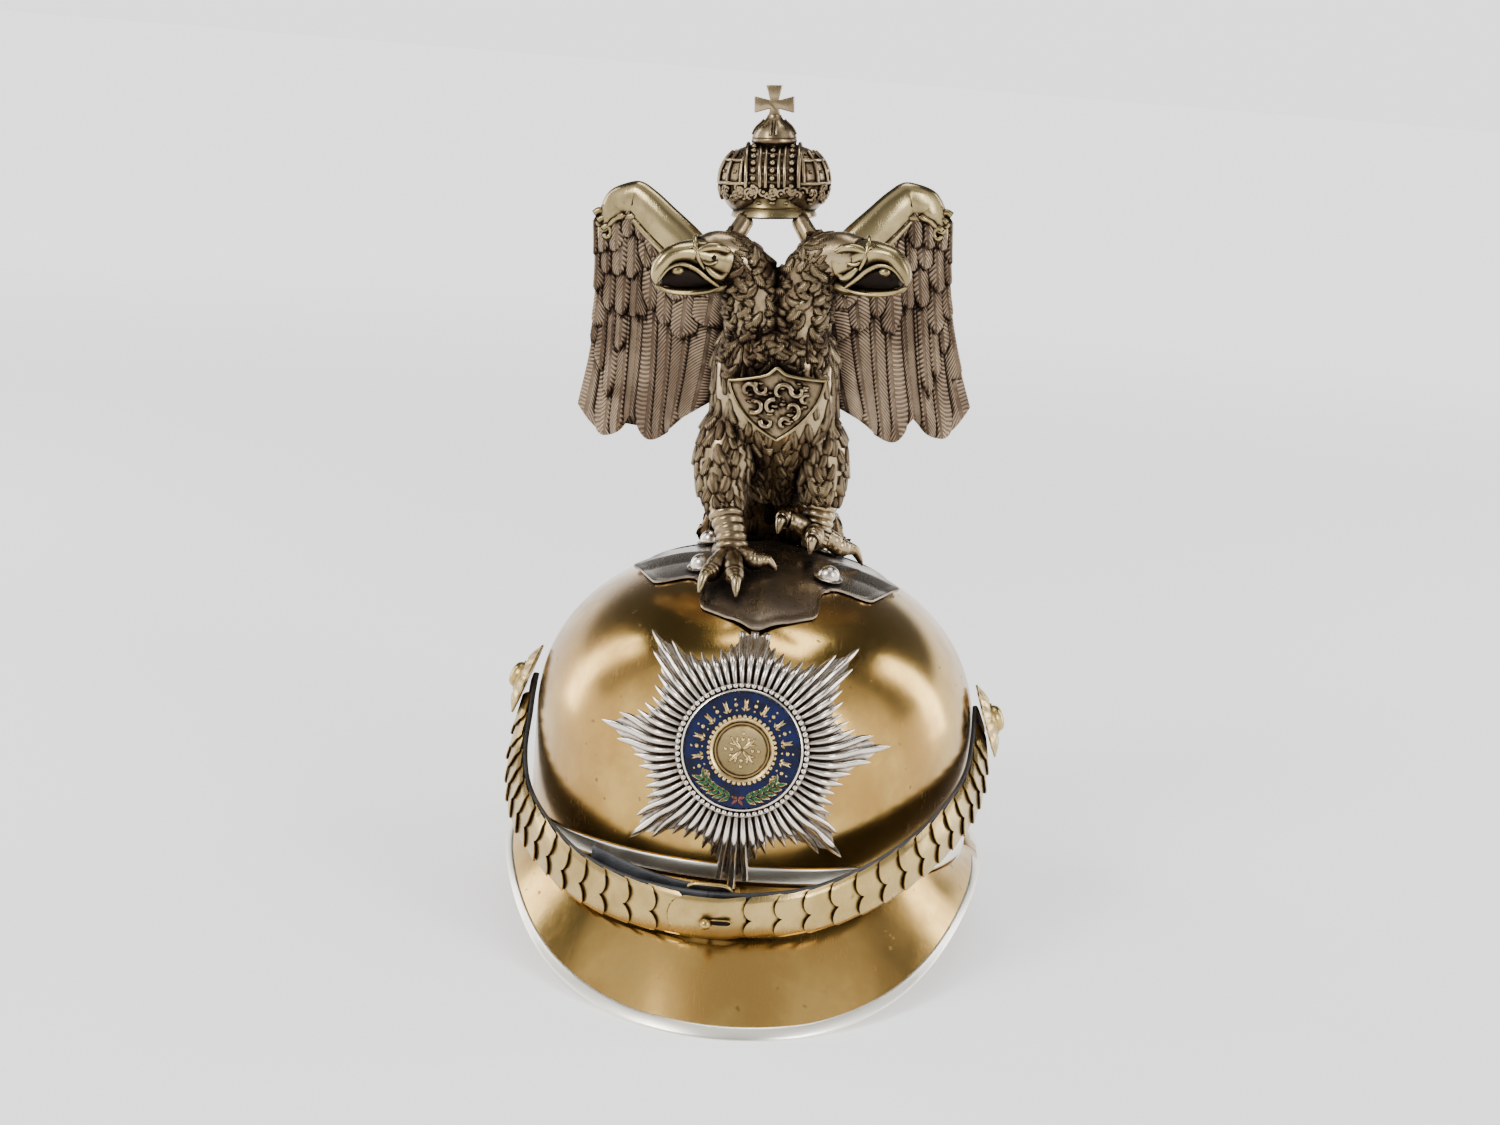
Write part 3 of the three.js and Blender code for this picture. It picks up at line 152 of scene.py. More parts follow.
MOUTH = [
    (29, -19, 121.4, 1.6, 4.2), (35, -23, 122.8, 3.4, 5.2), (41.5, -27.6, 124.4, 5.4, 5.0),
    (48, -32.2, 124.6, 5.2, 3.8), (53, -36, 123.6, 2.6, 1.6),
]
LEG_FORWARD = [
    (-10, 0, 66, 12, 13), (-17.5, -8, 48, 13.5, 14), (-20, -16, 33, 10.5, 11),
    (-18.5, -22, 22, 7.2, 7.2), (-15.5, -28, 12, 6.2, 6.2), (-14, -31, 2, 7.2, 7),
]
LEG_BACK = [
    (12, 2, 66, 12, 13), (20, 2, 48, 14, 14), (22.5, 1, 33, 11.5, 11.5),
    (22, 0, 23, 7.5, 7.5), (21, -2, 13, 6, 6), (20, -4, 7, 6, 6),
]
TAIL = [
    (0, 14, 34, 15, 8), (0, 22, 24, 21, 6), (0, 31, 14, 29, 4.5), (0, 37, 2, 34, 3), (0, 39, -4, 35, 3),
]
# Toes: foot, knuckle and claw tip, heights above the plate
TOES = [
    ((-15, -32, 4), (-22, -46, 5), (-26, -56, 1.6)),
    ((-15, -32, 4), (-12, -50, 5), (-10, -61, 1.6)),
    ((-15, -32, 4), (-5, -34, 5), (5, -33, 1.6)),
    ((-15, -32, 4), (-20, -19, 4), (-23, -12, 1.6)),
    ((20, -4, 10), (7, -8, 17), (4, -14, 12)),
    ((20, -5, 10), (20, -14, 12), (18.5, -18, 6)),
    ((21, -3, 9), (31, 2, 7), (42, 8, 1.6)),
    ((20, -2, 8), (18, 9, 5), (17, 16, 1.6)),
]
TOE_RADIUS = 3.9
# Right wing's fan lines, root to tip: top x and z, bottom x and z, y
WING = [
    (18, 126, 26, 66, 8), (31, 141, 40, 57, 11), (42, 151, 47, 50, 14), (50, 158, 54, 47, 17),
    (57, 162, 63, 58, 20), (64, 161, 70, 49, 22), (71, 157, 77, 47.5, 25), (76, 148, 88, 61, 28),
]


def mix(a, b, t):
    return a + (b - a) * t


def clamp(value, low=0.0, high=1.0):
    return max(low, min(high, value))


def smooth(value, low, high):
    t = clamp((value - low) / (high - low))
    return t * t * (3 - 2 * t)


def table_value(rows, at, column=1):
    below = rows[0]
    for row in rows:
        if row[0] > at:
            return mix(below[column], row[column], (at - below[0]) / (row[0] - below[0]))
        below = row
    return below[column]


def eased_table(rows, at, column=1):
    """A table read with rounded corners"""
    first, last = rows[0][0], rows[-1][0]
    spread = [table_value(rows, clamp(at + step, first, last), column) for step in (-3, -1, 1, 3)]
    return sum(spread) / len(spread)


def squared(value, power):
    """A sine or cosine with its sign kept and its rounding made squarer"""
    return math.copysign(abs(value) ** power, value)


class Route:
    """A smooth curve through points of any number of columns, like the one the solids follow"""

    def __init__(self, points):
        self.points = [Vector(point) for point in points]

    def at(self, t):
        """The place at a share t of the points"""
        points = self.points
        last = len(points) - 1
        place = clamp(t) * last
        k = min(int(place), last - 1)
        w = place - k
        p1, p2 = points[k], points[k + 1]
        p0 = points[k - 1] if k > 0 else 2 * p1 - p2
        p3 = points[k + 2] if k + 2 <= last else 2 * p2 - p1
        d1 = max((p2 - p1).length_squared ** 0.25, 1e-4)
        d0 = max((p1 - p0).length_squared ** 0.25, 1e-4)
        d2 = max((p3 - p2).length_squared ** 0.25, 1e-4)
        t1 = ((p1 - p0) / d0 - (p2 - p0) / (d0 + d1) + (p2 - p1) / d1) * d1
        t2 = ((p2 - p1) / d1 - (p3 - p1) / (d1 + d2) + (p3 - p2) / d2) * d1
        return p1 + w * t1 + w * w * (3 * p2 - 3 * p1 - 2 * t1 - t2) + w ** 3 * (2 * p1 - 2 * p2 + t1 + t2)

    def along(self, t, step=0.004):
        return (self.at(min(1, t + step)) - self.at(max(0, t - step))).normalized()


# Mesh building

# Millimetres that one unit of a UV map stands for
UV_UNIT = 100

def uv_layer(bm):
    return bm.loops.layers.uv.get("UVMap") or bm.loops.layers.uv.new("UVMap")


def sheet(bm, across, along, shape, width=UV_UNIT, length=UV_UNIT):
    """A grid of quads laid where shape(u, v) says, with a UV map of its real width and length"""
    uv_map = uv_layer(bm)
    made = bmesh.ops.create_grid(bm, x_segments=across, y_segments=along, size=0.5)["verts"]
    for face in {face for vert in made for face in vert.link_faces}:
        for loop in face.loops:
            across_share = loop.vert.co.x * width / UV_UNIT
            loop[uv_map].uv = (0.5 + across_share, (loop.vert.co.y + 0.5) * length / UV_UNIT)
    for vert in made:
        vert.co = shape(vert.co.x + 0.5, vert.co.y + 0.5)
    return made


def pour(bit, bm):
    """A finished bit of mesh added to a bigger one"""
    mesh = bpy.data.meshes.new("bit")
    bit.to_mesh(mesh)
    bit.free()
    uv_layer(bm)
    bm.from_mesh(mesh)
    bpy.data.meshes.remove(mesh)


def seal(bm, verts, dist=1e-3):
    """Seams merged, open ends closed and faces turned outwards"""
    bmesh.ops.remove_doubles(bm, verts=verts, dist=dist)
    kept = [vert for vert in verts if vert.is_valid]
    open_edges = list({edge for vert in kept for edge in vert.link_edges if edge.is_boundary})
    if open_edges:
        bmesh.ops.holes_fill(bm, edges=open_edges, sides=0)
    bmesh.ops.recalc_face_normals(bm, faces=list({face for vert in kept for face in vert.link_faces}))


def join_faces(bm):
    """Two sheets, one over the other, joined along their open edges"""
    bmesh.ops.remove_doubles(bm, verts=bm.verts, dist=1e-3)
    bmesh.ops.bridge_loops(bm, edges=[edge for edge in bm.edges if edge.is_boundary])


def tube(bm, sides, steps, shape):
    """A closed tube: u runs round it and v along it"""
    bit = bmesh.new()
    seal(bit, sheet(bit, sides, steps, shape))
    pour(bit, bm)


def rod(bm, points, radius, sides=8, steps=None):
    """A round bar through points, radius a number or a function of the share along it"""
    route = Route(points)
    # A way that no bar of the helmet runs in
    up = Vector((0.1, 1, 0.05))
    size = radius if callable(radius) else lambda t: radius

    def shape(u, v):
        middle = route.at(v)
        run = route.along(v)
        side = up.cross(run).normalized()
        front = run.cross(side)
        turn = math.tau * u
        return middle + (side * math.cos(turn) + front * math.sin(turn)) * size(v)

    tube(bm, sides, steps or 4 * (len(points) - 1), shape)


def loft(bm, rows, sides, steps, relief=None):
    """Oval sections joined along a smooth route, turned as the solids turn them"""
    route = Route([row[:3] for row in rows])
    sizes = Route([(row[3], row[4], 0) for row in rows])

    def shape(u, v):
        run = route.along(v)
        size = sizes.at(v)
        right = Vector((0, 1, 0)).cross(run).normalized()
        front = run.cross(right)
        turn = math.tau * u
        rise = relief(u, v) if relief else 0
        return (route.at(v) + right * math.sin(turn) * (size.x + rise)
                + front * math.cos(turn) * (size.y + rise))

    tube(bm, sides, steps, shape)


def ball(bm, middle, radius, stretch=(1, 1, 1), u=12, v=8):
    made = bmesh.ops.create_uvsphere(bm, u_segments=u, v_segments=v, radius=radius)["verts"]
    bmesh.ops.scale(bm, vec=Vector(stretch), verts=made)
    bmesh.ops.translate(bm, vec=Vector(middle), verts=made)
    return made


def turned(bm, profile, segments, place):
    """A profile of (radius, height) spun about the upright axis, then laid where place(x, y, z) says"""
    bit = bmesh.new()
    verts = [bit.verts.new((radius, 0, height)) for radius, height in profile]
    edges = [bit.edges.new(pair) for pair in zip(verts, verts[1:])]
    bmesh.ops.spin(bit, geom=verts + edges, axis=(0, 0, 1), cent=(0, 0, 0), steps=segments,
                   angle=math.tau, use_merge=True, use_duplicate=False)
    seal(bit, bit.verts[:])
    for vert in bit.verts:
        vert.co = place(vert.co.x, vert.co.y, vert.co.z)
    pour(bit, bm)


def finish(name, bm, material, nodes=(), crease=38, thick=0.0):
    """A piece of the helmet, in metres, riding on the body"""
    bmesh.ops.remove_doubles(bm, verts=bm.verts, dist=1e-4)
    if thick:
        bmesh.ops.recalc_face_normals(bm, faces=bm.faces)
        bmesh.ops.solidify(bm, geom=bm.faces, thickness=thick)
    bmesh.ops.recalc_face_normals(bm, faces=bm.faces)
    for edge in bm.edges:
        edge.smooth = not (len(edge.link_faces) == 2 and edge.calc_face_angle(0) > math.radians(crease))
    for face in bm.faces:
        face.smooth = True
    bmesh.ops.transform(bm, matrix=Matrix.Scale(MM, 4) @ Matrix.Translation(SHIFT), verts=bm.verts)
    mesh = bpy.data.meshes.new(name)
    bm.to_mesh(mesh)
    bm.free()
    mesh.materials.append(material)
    piece = bpy.data.objects.new(name, mesh)
    bpy.context.collection.objects.link(piece)
    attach(piece, "root")
    if nodes:
        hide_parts(*nodes)
    return piece


# Materials

def node_group(name, inputs, outputs):
    group = bpy.data.node_groups.new(name, "ShaderNodeTree")
    for label, kind, value in inputs:
        socket = group.interface.new_socket(label, in_out="INPUT", socket_type=kind)
        if value is not None:
            socket.default_value = value
    for label, kind in outputs:
        group.interface.new_socket(label, in_out="OUTPUT", socket_type=kind)
    return group, group.nodes.new("NodeGroupInput"), group.nodes.new("NodeGroupOutput")


class Wiring:
    """Short ways to add and join shader nodes in one tree"""

    def __init__(self, tree):
        self.tree = tree

    def add(self, kind, **settings):
        node = self.tree.nodes.new(kind)
        for key, value in settings.items():
            setattr(node, key, value)
        return node

    def feed(self, socket, value):
        if isinstance(value, bpy.types.NodeSocket):
            self.tree.links.new(value, socket)
        else:
            socket.default_value = value

    def math(self, operation, a, b=0.0, c=0.0, clamp_it=False):
        node = self.add("ShaderNodeMath", operation=operation, use_clamp=clamp_it)
        for socket, value in zip(node.inputs, (a, b, c)):
            self.feed(socket, value)
        return node.outputs[0]

    def noise(self, vector, scale, detail=3.0, roughness=0.55):
        node = self.add("ShaderNodeTexNoise")
        self.feed(node.inputs["Vector"], vector)
        self.feed(node.inputs["Scale"], scale)
        node.inputs["Detail"].default_value = detail
        node.inputs["Roughness"].default_value = roughness
        return node.outputs["Fac"]

    def step(self, value, low, high, to_low=0.0, to_high=1.0):
        node = self.add("ShaderNodeMapRange", interpolation_type="SMOOTHSTEP")
        for socket, given in zip(node.inputs, (value, low, high, to_low, to_high)):
            self.feed(socket, given)
        return node.outputs[0]

    def blend(self, factor, a, b):
        node = self.add("ShaderNodeMix", data_type="RGBA")
        self.feed(node.inputs[0], factor)
        self.feed(node.inputs[6], a)
        self.feed(node.inputs[7], b)
        return node.outputs[2]

    def turned(self, vector, angles, scale):
        node = self.add("ShaderNodeMapping")
        self.feed(node.inputs["Vector"], vector)
        node.inputs["Rotation"].default_value = [math.radians(angle) for angle in angles]
        node.inputs["Scale"].default_value = scale
        return node.outputs[0]


def build_scratches():
    """Thin lines in three directions, white on black"""
    group, given, made = node_group(
        "fine_scratches",
        [("Vector", "NodeSocketVector", None), ("Density", "NodeSocketFloat", 1.0)],
        [("Mask", "NodeSocketFloat")],
    )
    w = Wiring(group)
    # Turn of each set of lines in degrees, and how fine it is along its three axes
    line_sets = (
        ((20, 35, 10), (2600, 70, 160)),
        ((70, 15, 80), (3000, 90, 120)),
        ((15, 80, 140), (2400, 60, 220)),
    )
    lines = []
    for angles, stretch in line_sets:
        streak = w.noise(w.turned(given.outputs["Vector"], angles, stretch), 1.0, 2.0, 0.5)
        lines.append(w.step(streak, 0.62, 0.72))
    both = w.math("MAXIMUM", lines[0], lines[1])
    every = w.math("MAXIMUM", both, lines[2])
    w.feed(made.inputs["Mask"], w.math("MULTIPLY", every, given.outputs["Density"], clamp_it=True))
    return group


def build_tarnish_and_shade():
    """Clouded tarnish that is darkest in hollows with patina and painted shade, with specks, scratches and a
    fine grain
    """
    group, given, made = node_group(
        "tarnish_and_shade",
        [
            ("Vector", "NodeSocketVector", None),
            ("Bright", "NodeSocketColor", (1, 1, 1, 1)),
            ("Body", "NodeSocketColor", (0.5, 0.5, 0.5, 1)),
            ("Dark", "NodeSocketColor", (0.1, 0.1, 0.1, 1)),
            ("Hollow", "NodeSocketFloat", 0.0),
            ("Cloud Scale", "NodeSocketFloat", 30.0),
            ("Cloud Amount", "NodeSocketFloat", 0.5),
            ("Spots", "NodeSocketFloat", 0.3),
            ("Roughness", "NodeSocketFloat", 0.3),
            ("Scratches", "NodeSocketFloat", 0.3),
        ],
        [("Color", "NodeSocketColor"), ("Roughness", "NodeSocketFloat"), ("Height", "NodeSocketFloat")],
    )
    w = Wiring(group)
    vector = given.outputs["Vector"]
    cloud = w.noise(vector, given.outputs["Cloud Scale"], 5.0, 0.6)
    cloud_soft = w.step(cloud, 0.38, 0.66)
    fine = w.noise(vector, 420.0, 4.0, 0.6)
    speck = w.step(w.noise(vector, 190.0, 2.0, 0.45), 0.70, 0.76)
    spots = w.math("MULTIPLY", speck, given.outputs["Spots"])
    scratch_group = w.add("ShaderNodeGroup", node_tree=bpy.data.node_groups["fine_scratches"])
    w.feed(scratch_group.inputs["Vector"], vector)
    w.feed(scratch_group.inputs["Density"], given.outputs["Scratches"])
    scratch = scratch_group.outputs["Mask"]
    hollow = given.outputs["Hollow"]
    clouded = w.math("MULTIPLY", cloud_soft, given.outputs["Cloud Amount"])
    # Where other metal closes a corner off, the colour turns from bright to the clouded body: patina and
    # painted shade
    sheltered = w.step(hollow, 0.04, 0.42, 0.0, 0.75)
    clouded = w.math("MULTIPLY_ADD", clouded, 0.7, sheltered, clamp_it=True)
    body = w.blend(clouded, given.outputs["Bright"], given.outputs["Body"])
    # Hollows turn dark with patina and painted shade, and the fine grain adds grime
    grime_and_shade = w.math("MULTIPLY_ADD", w.math("SUBTRACT", fine, 0.5), 0.5, hollow)
    darkened = w.math("MAXIMUM", w.step(grime_and_shade, 0.18, 0.72), spots)
    coloured = w.blend(darkened, body, given.outputs["Dark"])
    w.feed(made.inputs["Color"], coloured)
    rough = w.math("MULTIPLY_ADD", clouded, 0.14, given.outputs["Roughness"])
    rough = w.math("MULTIPLY_ADD", darkened, 0.25, rough)
    rough = w.math("MULTIPLY_ADD", scratch, 0.12, rough, clamp_it=True)
    w.feed(made.inputs["Roughness"], rough)
    height = w.math("MULTIPLY_ADD", scratch, -0.5, w.math("MULTIPLY", fine, 0.35))
    w.feed(made.inputs["Height"], height)
    return group


def build_barbs():
    """Fine slanting barbs on both sides of a feather's shaft, from its UV map"""
    group, given, made = node_group(
        "feather_barbs",
        [
            ("UV", "NodeSocketVector", None),
            ("Count", "NodeSocketFloat", 75.0),
            ("Slant", "NodeSocketFloat", 1.0),
        ],
        [("Height", "NodeSocketFloat")],
    )
    w = Wiring(group)
    split = w.add("ShaderNodeSeparateXYZ")
    w.feed(split.inputs[0], given.outputs["UV"])
    aside = w.math("ABSOLUTE", w.math("SUBTRACT", split.outputs[0], 0.5))
    phase = w.math("MULTIPLY_ADD", aside, given.outputs["Slant"], w.math("MULTIPLY", split.outputs[1], -1.0))
    phase = w.math("MULTIPLY", phase, given.outputs["Count"])
    wave = w.math("SINE", w.math("MULTIPLY", phase, math.tau))
    groove = w.step(wave, -0.9, 0.4)
    shaft = w.step(aside, 0.004, 0.008)
    w.feed(made.inputs["Height"], w.math("MULTIPLY", groove, shaft))
    return group


build_scratches()
build_tarnish_and_shade()
build_barbs()


def new_material(name):
    """A material with its wiring, its shader and the piece's own coordinates"""
    material = bpy.data.materials.new(name)
    material.use_nodes = True
    w = Wiring(material.node_tree)
    place = w.add("ShaderNodeTexCoord").outputs["Object"]
    return material, w, material.node_tree.nodes["Principled BSDF"], place


def add_bump(w, shader, height, strength, distance):
    relief = w.add("ShaderNodeBump")
    relief.inputs["Strength"].default_value = strength
    relief.inputs["Distance"].default_value = distance
    w.feed(relief.inputs["Height"], height)
    w.feed(shader.inputs["Normal"], relief.outputs[0])


def metal(name, bright, body, dark, cloud_scale=30.0, cloud=0.5, spots=0.3, rough=0.3, scratches=0.3,
          bump=0.25, barbs=0.0, count=75.0, slant=1.0, hollow=True, depth=0.0002):
    """Bright where worn, body where clouded and dark in hollows with patina and painted shade, with feather
    barbs if any and painted shade in their grooves
    """
    material, w, shader, place = new_material(name)
    aged = w.add("ShaderNodeGroup", node_tree=bpy.data.node_groups["tarnish_and_shade"])
    w.feed(aged.inputs["Vector"], place)
    given = {
        "Bright": (*bright, 1), "Body": (*body, 1), "Dark": (*dark, 1),
        "Cloud Scale": cloud_scale, "Cloud Amount": cloud,
        "Spots": spots, "Roughness": rough, "Scratches": scratches,
    }
    for label, value in given.items():
        aged.inputs[label].default_value = value
    height = aged.outputs["Height"]
    shade = None
    if hollow:
        shade = w.add("ShaderNodeAttribute", attribute_name="hollow").outputs["Fac"]
    if barbs:
        feather = w.add("ShaderNodeGroup", node_tree=bpy.data.node_groups["feather_barbs"])
        uv_map = w.add("ShaderNodeUVMap", uv_map="UVMap")
        w.feed(feather.inputs["UV"], uv_map.outputs[0])
        feather.inputs["Count"].default_value = count
        feather.inputs["Slant"].default_value = slant
        height = w.math("MULTIPLY_ADD", feather.outputs["Height"], barbs, height)
        # The barbs' grooves get painted shade
        groove = w.math("MULTIPLY", w.math("SUBTRACT", 1.0, feather.outputs["Height"]), 0.3)
        shade = w.math("ADD", shade, groove) if hollow else groove
    if shade is not None:
        w.feed(aged.inputs["Hollow"], shade)
    w.feed(shader.inputs["Base Color"], aged.outputs["Color"])
    w.feed(shader.inputs["Roughness"], aged.outputs["Roughness"])
    shader.inputs["Metallic"].default_value = 1.0
    add_bump(w, shader, height, bump, depth)
    return material


def enamel(name, colour, deep):
    """Glassy colour with slightly deeper clouds"""
    material, w, shader, place = new_material(name)
    cloud = w.noise(place, 160.0, 3.0)
    w.feed(shader.inputs["Base Color"], w.blend(w.step(cloud, 0.35, 0.7), (*colour, 1), (*deep, 1)))
    shader.inputs["Coat Weight"].default_value = 0.35
    shader.inputs["Specular IOR Level"].default_value = 0.3
    shader.inputs["Coat Roughness"].default_value = 0.08
    w.feed(shader.inputs["Roughness"], w.step(cloud, 0.3, 0.8, 0.18, 0.32))
    add_bump(w, shader, cloud, 0.15, 0.0002)
    return material


def leather():
    """Black grained leather, greyer where it is rubbed"""
    material, w, shader, place = new_material("strap_leather")
    grain = w.add("ShaderNodeTexVoronoi")
    w.feed(grain.inputs["Vector"], place)
    grain.inputs["Scale"].default_value = 1300.0
    soft = w.noise(place, 60.0, 4.0)
    creases = w.noise(place, 700.0, 3.0)
    colour = w.blend(w.step(soft, 0.35, 0.75), (0.012, 0.013, 0.016, 1), (0.045, 0.046, 0.052, 1))
    w.feed(shader.inputs["Base Color"], colour)
    w.feed(shader.inputs["Roughness"], w.step(soft, 0.3, 0.8, 0.42, 0.62))
    add_bump(w, shader, w.math("MULTIPLY_ADD", creases, 0.8, grain.outputs["Distance"]), 0.5, 0.0003)
    return material


# Metals: their bright, clouded and hollow colours, then how they are aged
SKULL_BRASS = metal(
    "skull_brass", (0.53, 0.34, 0.10), (0.31, 0.165, 0.042), (0.10, 0.05, 0.018),
    cloud_scale=22.0, cloud=0.95, spots=0.55, rough=0.15, scratches=0.3, bump=0.12, hollow=False)
SCALE_BRASS = metal(
    "scale_brass", (0.50, 0.36, 0.14), (0.30, 0.195, 0.062), (0.045, 0.026, 0.012),
    cloud_scale=45.0, cloud=0.85, spots=0.35, rough=0.24, scratches=0.35, bump=0.2)
WHITE_METAL = metal(
    "white_metal", (0.96, 0.92, 0.81), (0.82, 0.77, 0.66), (0.34, 0.30, 0.24),
    cloud_scale=40.0, cloud=0.5, spots=0.2, rough=0.3, scratches=0.25, bump=0.08)
SILVER = metal(
    "tarnished_silver", (0.36, 0.275, 0.16), (0.105, 0.07, 0.04), (0.010, 0.006, 0.004),
    cloud_scale=38.0, cloud=0.9, spots=0.3, rough=0.22, scratches=0.3, bump=0.35)
FEATHER_SILVER = metal(
    "feather_silver", (0.30, 0.222, 0.15), (0.105, 0.07, 0.047), (0.012, 0.008, 0.006),
    cloud_scale=42.0, cloud=0.95, spots=0.25, rough=0.27, scratches=0.1, bump=1.0,
    barbs=1.0, count=56.0, slant=1.0, depth=0.0004)
SMALL_FEATHER = metal(
    "small_feather_silver", (0.37, 0.285, 0.16), (0.10, 0.066, 0.038), (0.010, 0.006, 0.004),
    cloud_scale=55.0, cloud=0.8, spots=0.2, rough=0.24, scratches=0.1, bump=0.9,
    barbs=0.8, count=105.0, slant=1.2, depth=0.0003)
WORN_GILT = metal(
    "worn_gilt", (0.37, 0.292, 0.145), (0.155, 0.113, 0.054), (0.02, 0.012, 0.007),
    cloud_scale=50.0, cloud=0.9, spots=0.4, rough=0.2, scratches=0.3, bump=0.25)
PLATE_SILVER = metal(
    "plate_silver", (0.34, 0.28, 0.215), (0.10, 0.074, 0.053), (0.022, 0.014, 0.010),
    cloud_scale=48.0, cloud=1.0, spots=0.6, rough=0.24, scratches=0.35, bump=0.35)
STAR_SILVER = metal(
    "star_silver", (0.80, 0.74, 0.65), (0.48, 0.40, 0.33), (0.022, 0.015, 0.011),
    cloud_scale=70.0, cloud=0.6, spots=0.2, rough=0.18, scratches=0.2, bump=0.25)
GILT = metal(
    "gilt", (0.68, 0.51, 0.24), (0.42, 0.285, 0.11), (0.045, 0.026, 0.012),
    cloud_scale=90.0, cloud=0.6, spots=0.2, rough=0.22, scratches=0.2, bump=0.2)
BLUE_ENAMEL = enamel("blue_enamel", (0.003, 0.008, 0.055), (0.001, 0.002, 0.014))
GREEN_ENAMEL = enamel("green_enamel", (0.004, 0.085, 0.02), (0.002, 0.03, 0.008))
RED_ENAMEL = enamel("red_enamel", (0.13, 0.03, 0.018), (0.05, 0.012, 0.008))
# Near black that paints shade into the eagles' mouths, eye sockets and the clasp's slot
SHADE_BLACK = metal(
    "painted_shade_black", (0.014, 0.010, 0.008), (0.008, 0.006, 0.005), (0.004, 0.003, 0.002),
    rough=0.5, scratches=0.0, hollow=False)
LEATHER = leather()


# Skull and brims

def skull_share(height):
    """The skull's width at a height as a share of its widest"""
    if height <= SKULL_WIDEST:
        return 1
    rise = min(1, (height - SKULL_WIDEST) / (SKULL_TOP - SKULL_WIDEST))
    return (1 - rise ** DOME_FULLNESS) ** (1 / DOME_FULLNESS)


def plan_point(turn, height, share, grow):
    """A place on the skull's plan, its turn counted from the front, grown outwards"""
    depth = SKULL_FRONT if math.cos(turn) > 0 else SKULL_REAR
    return Vector((
        (SKULL_HALF_WIDTH * share + grow) * math.sin(turn),
        -(depth * share + grow) * math.cos(turn),
        height,
    ))


def skull_top(x, y):
    """Height of the dome over a place in plan"""
    depth = SKULL_FRONT if y < 0 else SKULL_REAR
    share = min(1, math.hypot(x / SKULL_HALF_WIDTH, y / depth))
    rise = (1 - share ** DOME_FULLNESS) ** (1 / DOME_FULLNESS)
    return SKULL_WIDEST + rise * (SKULL_TOP - SKULL_WIDEST)


def skull_edge(turn):
    """Height of the skull's lower edge, which dips at the ears"""
    ends = EDGE_FRONT if math.cos(turn) > 0 else EDGE_REAR
    return ends - (ends - EDGE_EAR) * (1 - abs(math.cos(turn)))


def make_skull():
    """Two walls from the wavy edge to the crown, joined along the edge"""
    # The share of the rows that lies below the widest height
    straight = 0.22

    def wall(grow):
        def shape(u, v):
            turn = math.tau * u
            if v < straight:
                return plan_point(turn, mix(skull_edge(turn), SKULL_WIDEST, v / straight), 1, grow)
            angle = (v - straight) / (1 - straight) * math.pi / 2
            share = max(0, math.cos(angle)) ** (2 / DOME_FULLNESS)
            rise = math.sin(angle) ** (2 / DOME_FULLNESS)
            if v > 0.999:
                return Vector((0, 0, SKULL_TOP + grow))
            height = SKULL_WIDEST + rise * (SKULL_TOP + grow - SKULL_WIDEST)
            return plan_point(turn, height, share, grow * share)
        return shape

    bm = bmesh.new()
    for grow in (0, -SKULL_WALL):
        sheet(bm, 144, 64, wall(grow))
    join_faces(bm)
    finish("skull_shell", bm, SKULL_BRASS, ["skull"])


# The turn in radians left free at each ear between the brims
BRIM_SLACK = 0.003
# The turn where each brim starts, its reach and the skull's depth above it
BRIMS = {
    "visor": (-math.pi / 2, VISOR_REACH, SKULL_FRONT),
    "neck_guard": (math.pi / 2, GUARD_REACH, SKULL_REAR),
}


def brim_point(brim, turn, across):
    """A place on a brim: across from the skull to its edge"""
    _, reach, depth = brim
    root = plan_point(turn, skull_edge(turn) + 0.7, 1, 0.65)
    aside = math.degrees(math.acos(min(1, abs(math.cos(turn)))))
    edge = Vector((
        (SKULL_HALF_WIDTH + BRIM_SIDE_REACH) * math.sin(turn),
        -math.copysign(1, math.cos(turn)) * (depth + reach) * abs(math.cos(turn)),
        BRIM_EAR_HEIGHT * eased_table(BRIM_EDGE, aside),
    ))
    return root.lerp(edge, across)


def brim_frame(brim, turn, across):
    """A place on a brim, the way down it and the way its upper face looks"""
    step = 0.01
    down = (brim_point(brim, turn, 1) - brim_point(brim, turn, 0)).normalized()
    side = brim_point(brim, turn + step, 1) - brim_point(brim, turn - step, 1)
    face = side.cross(down).normalized()
    if face.z < 0:
        face.negate()
    return brim_point(brim, turn, across), down, face


def make_brims():
    for name, brim in BRIMS.items():
        def turn_at(u, cut=0.0):
            return brim[0] + BRIM_SLACK + (math.pi - 2 * BRIM_SLACK) * mix(cut, 1 - cut, u)

        def plate(u, v):
            point, down, face = brim_frame(brim, turn_at(u), 0.985 * v)
            return point + face * (BRIM_BULGE * math.sin(math.pi * v) + SHEET / 2)

        bm = bmesh.new()
        sheet(bm, 120, 20, plate)
        finish(f"{name}_plate", bm, SKULL_BRASS, [name], thick=SHEET)

        def rim(u, v):
            point, down, face = brim_frame(brim, turn_at(v, 0.022), 1)
            turn = math.tau * u
            out = 1.1 - RIM_WIDTH / 2 + squared(math.cos(turn), 0.5) * RIM_WIDTH / 2
            up = squared(math.sin(turn), 0.55) * RIM_THICK / 2
            place = point + down * out + face * up
            place.z = max(place.z, 0.0)
            return place

        bm = bmesh.new()
        tube(bm, 20, 150, rim)
        finish(f"{name}_edge", bm, WHITE_METAL, [f"{name}_rim"], crease=50)


def make_brow_band():
    def shape(u, v):
        turn_round = math.tau * u
        turn = -math.pi / 2 + BRIM_SLACK + (math.pi - 2 * BRIM_SLACK) * v
        up = BAND_HEIGHT / 2 * (1 + squared(math.cos(turn_round), 0.4))
        out = 0.3 + 0.5 * (1 + math.sin(turn_round))
        return plan_point(turn, skull_edge(turn) + BAND_RISE + up, 1, out)

    bm = bmesh.new()
    tube(bm, 16, 120, shape)
    finish("brow_strip", bm, WHITE_METAL, ["brow_band"], crease=50)


# Star

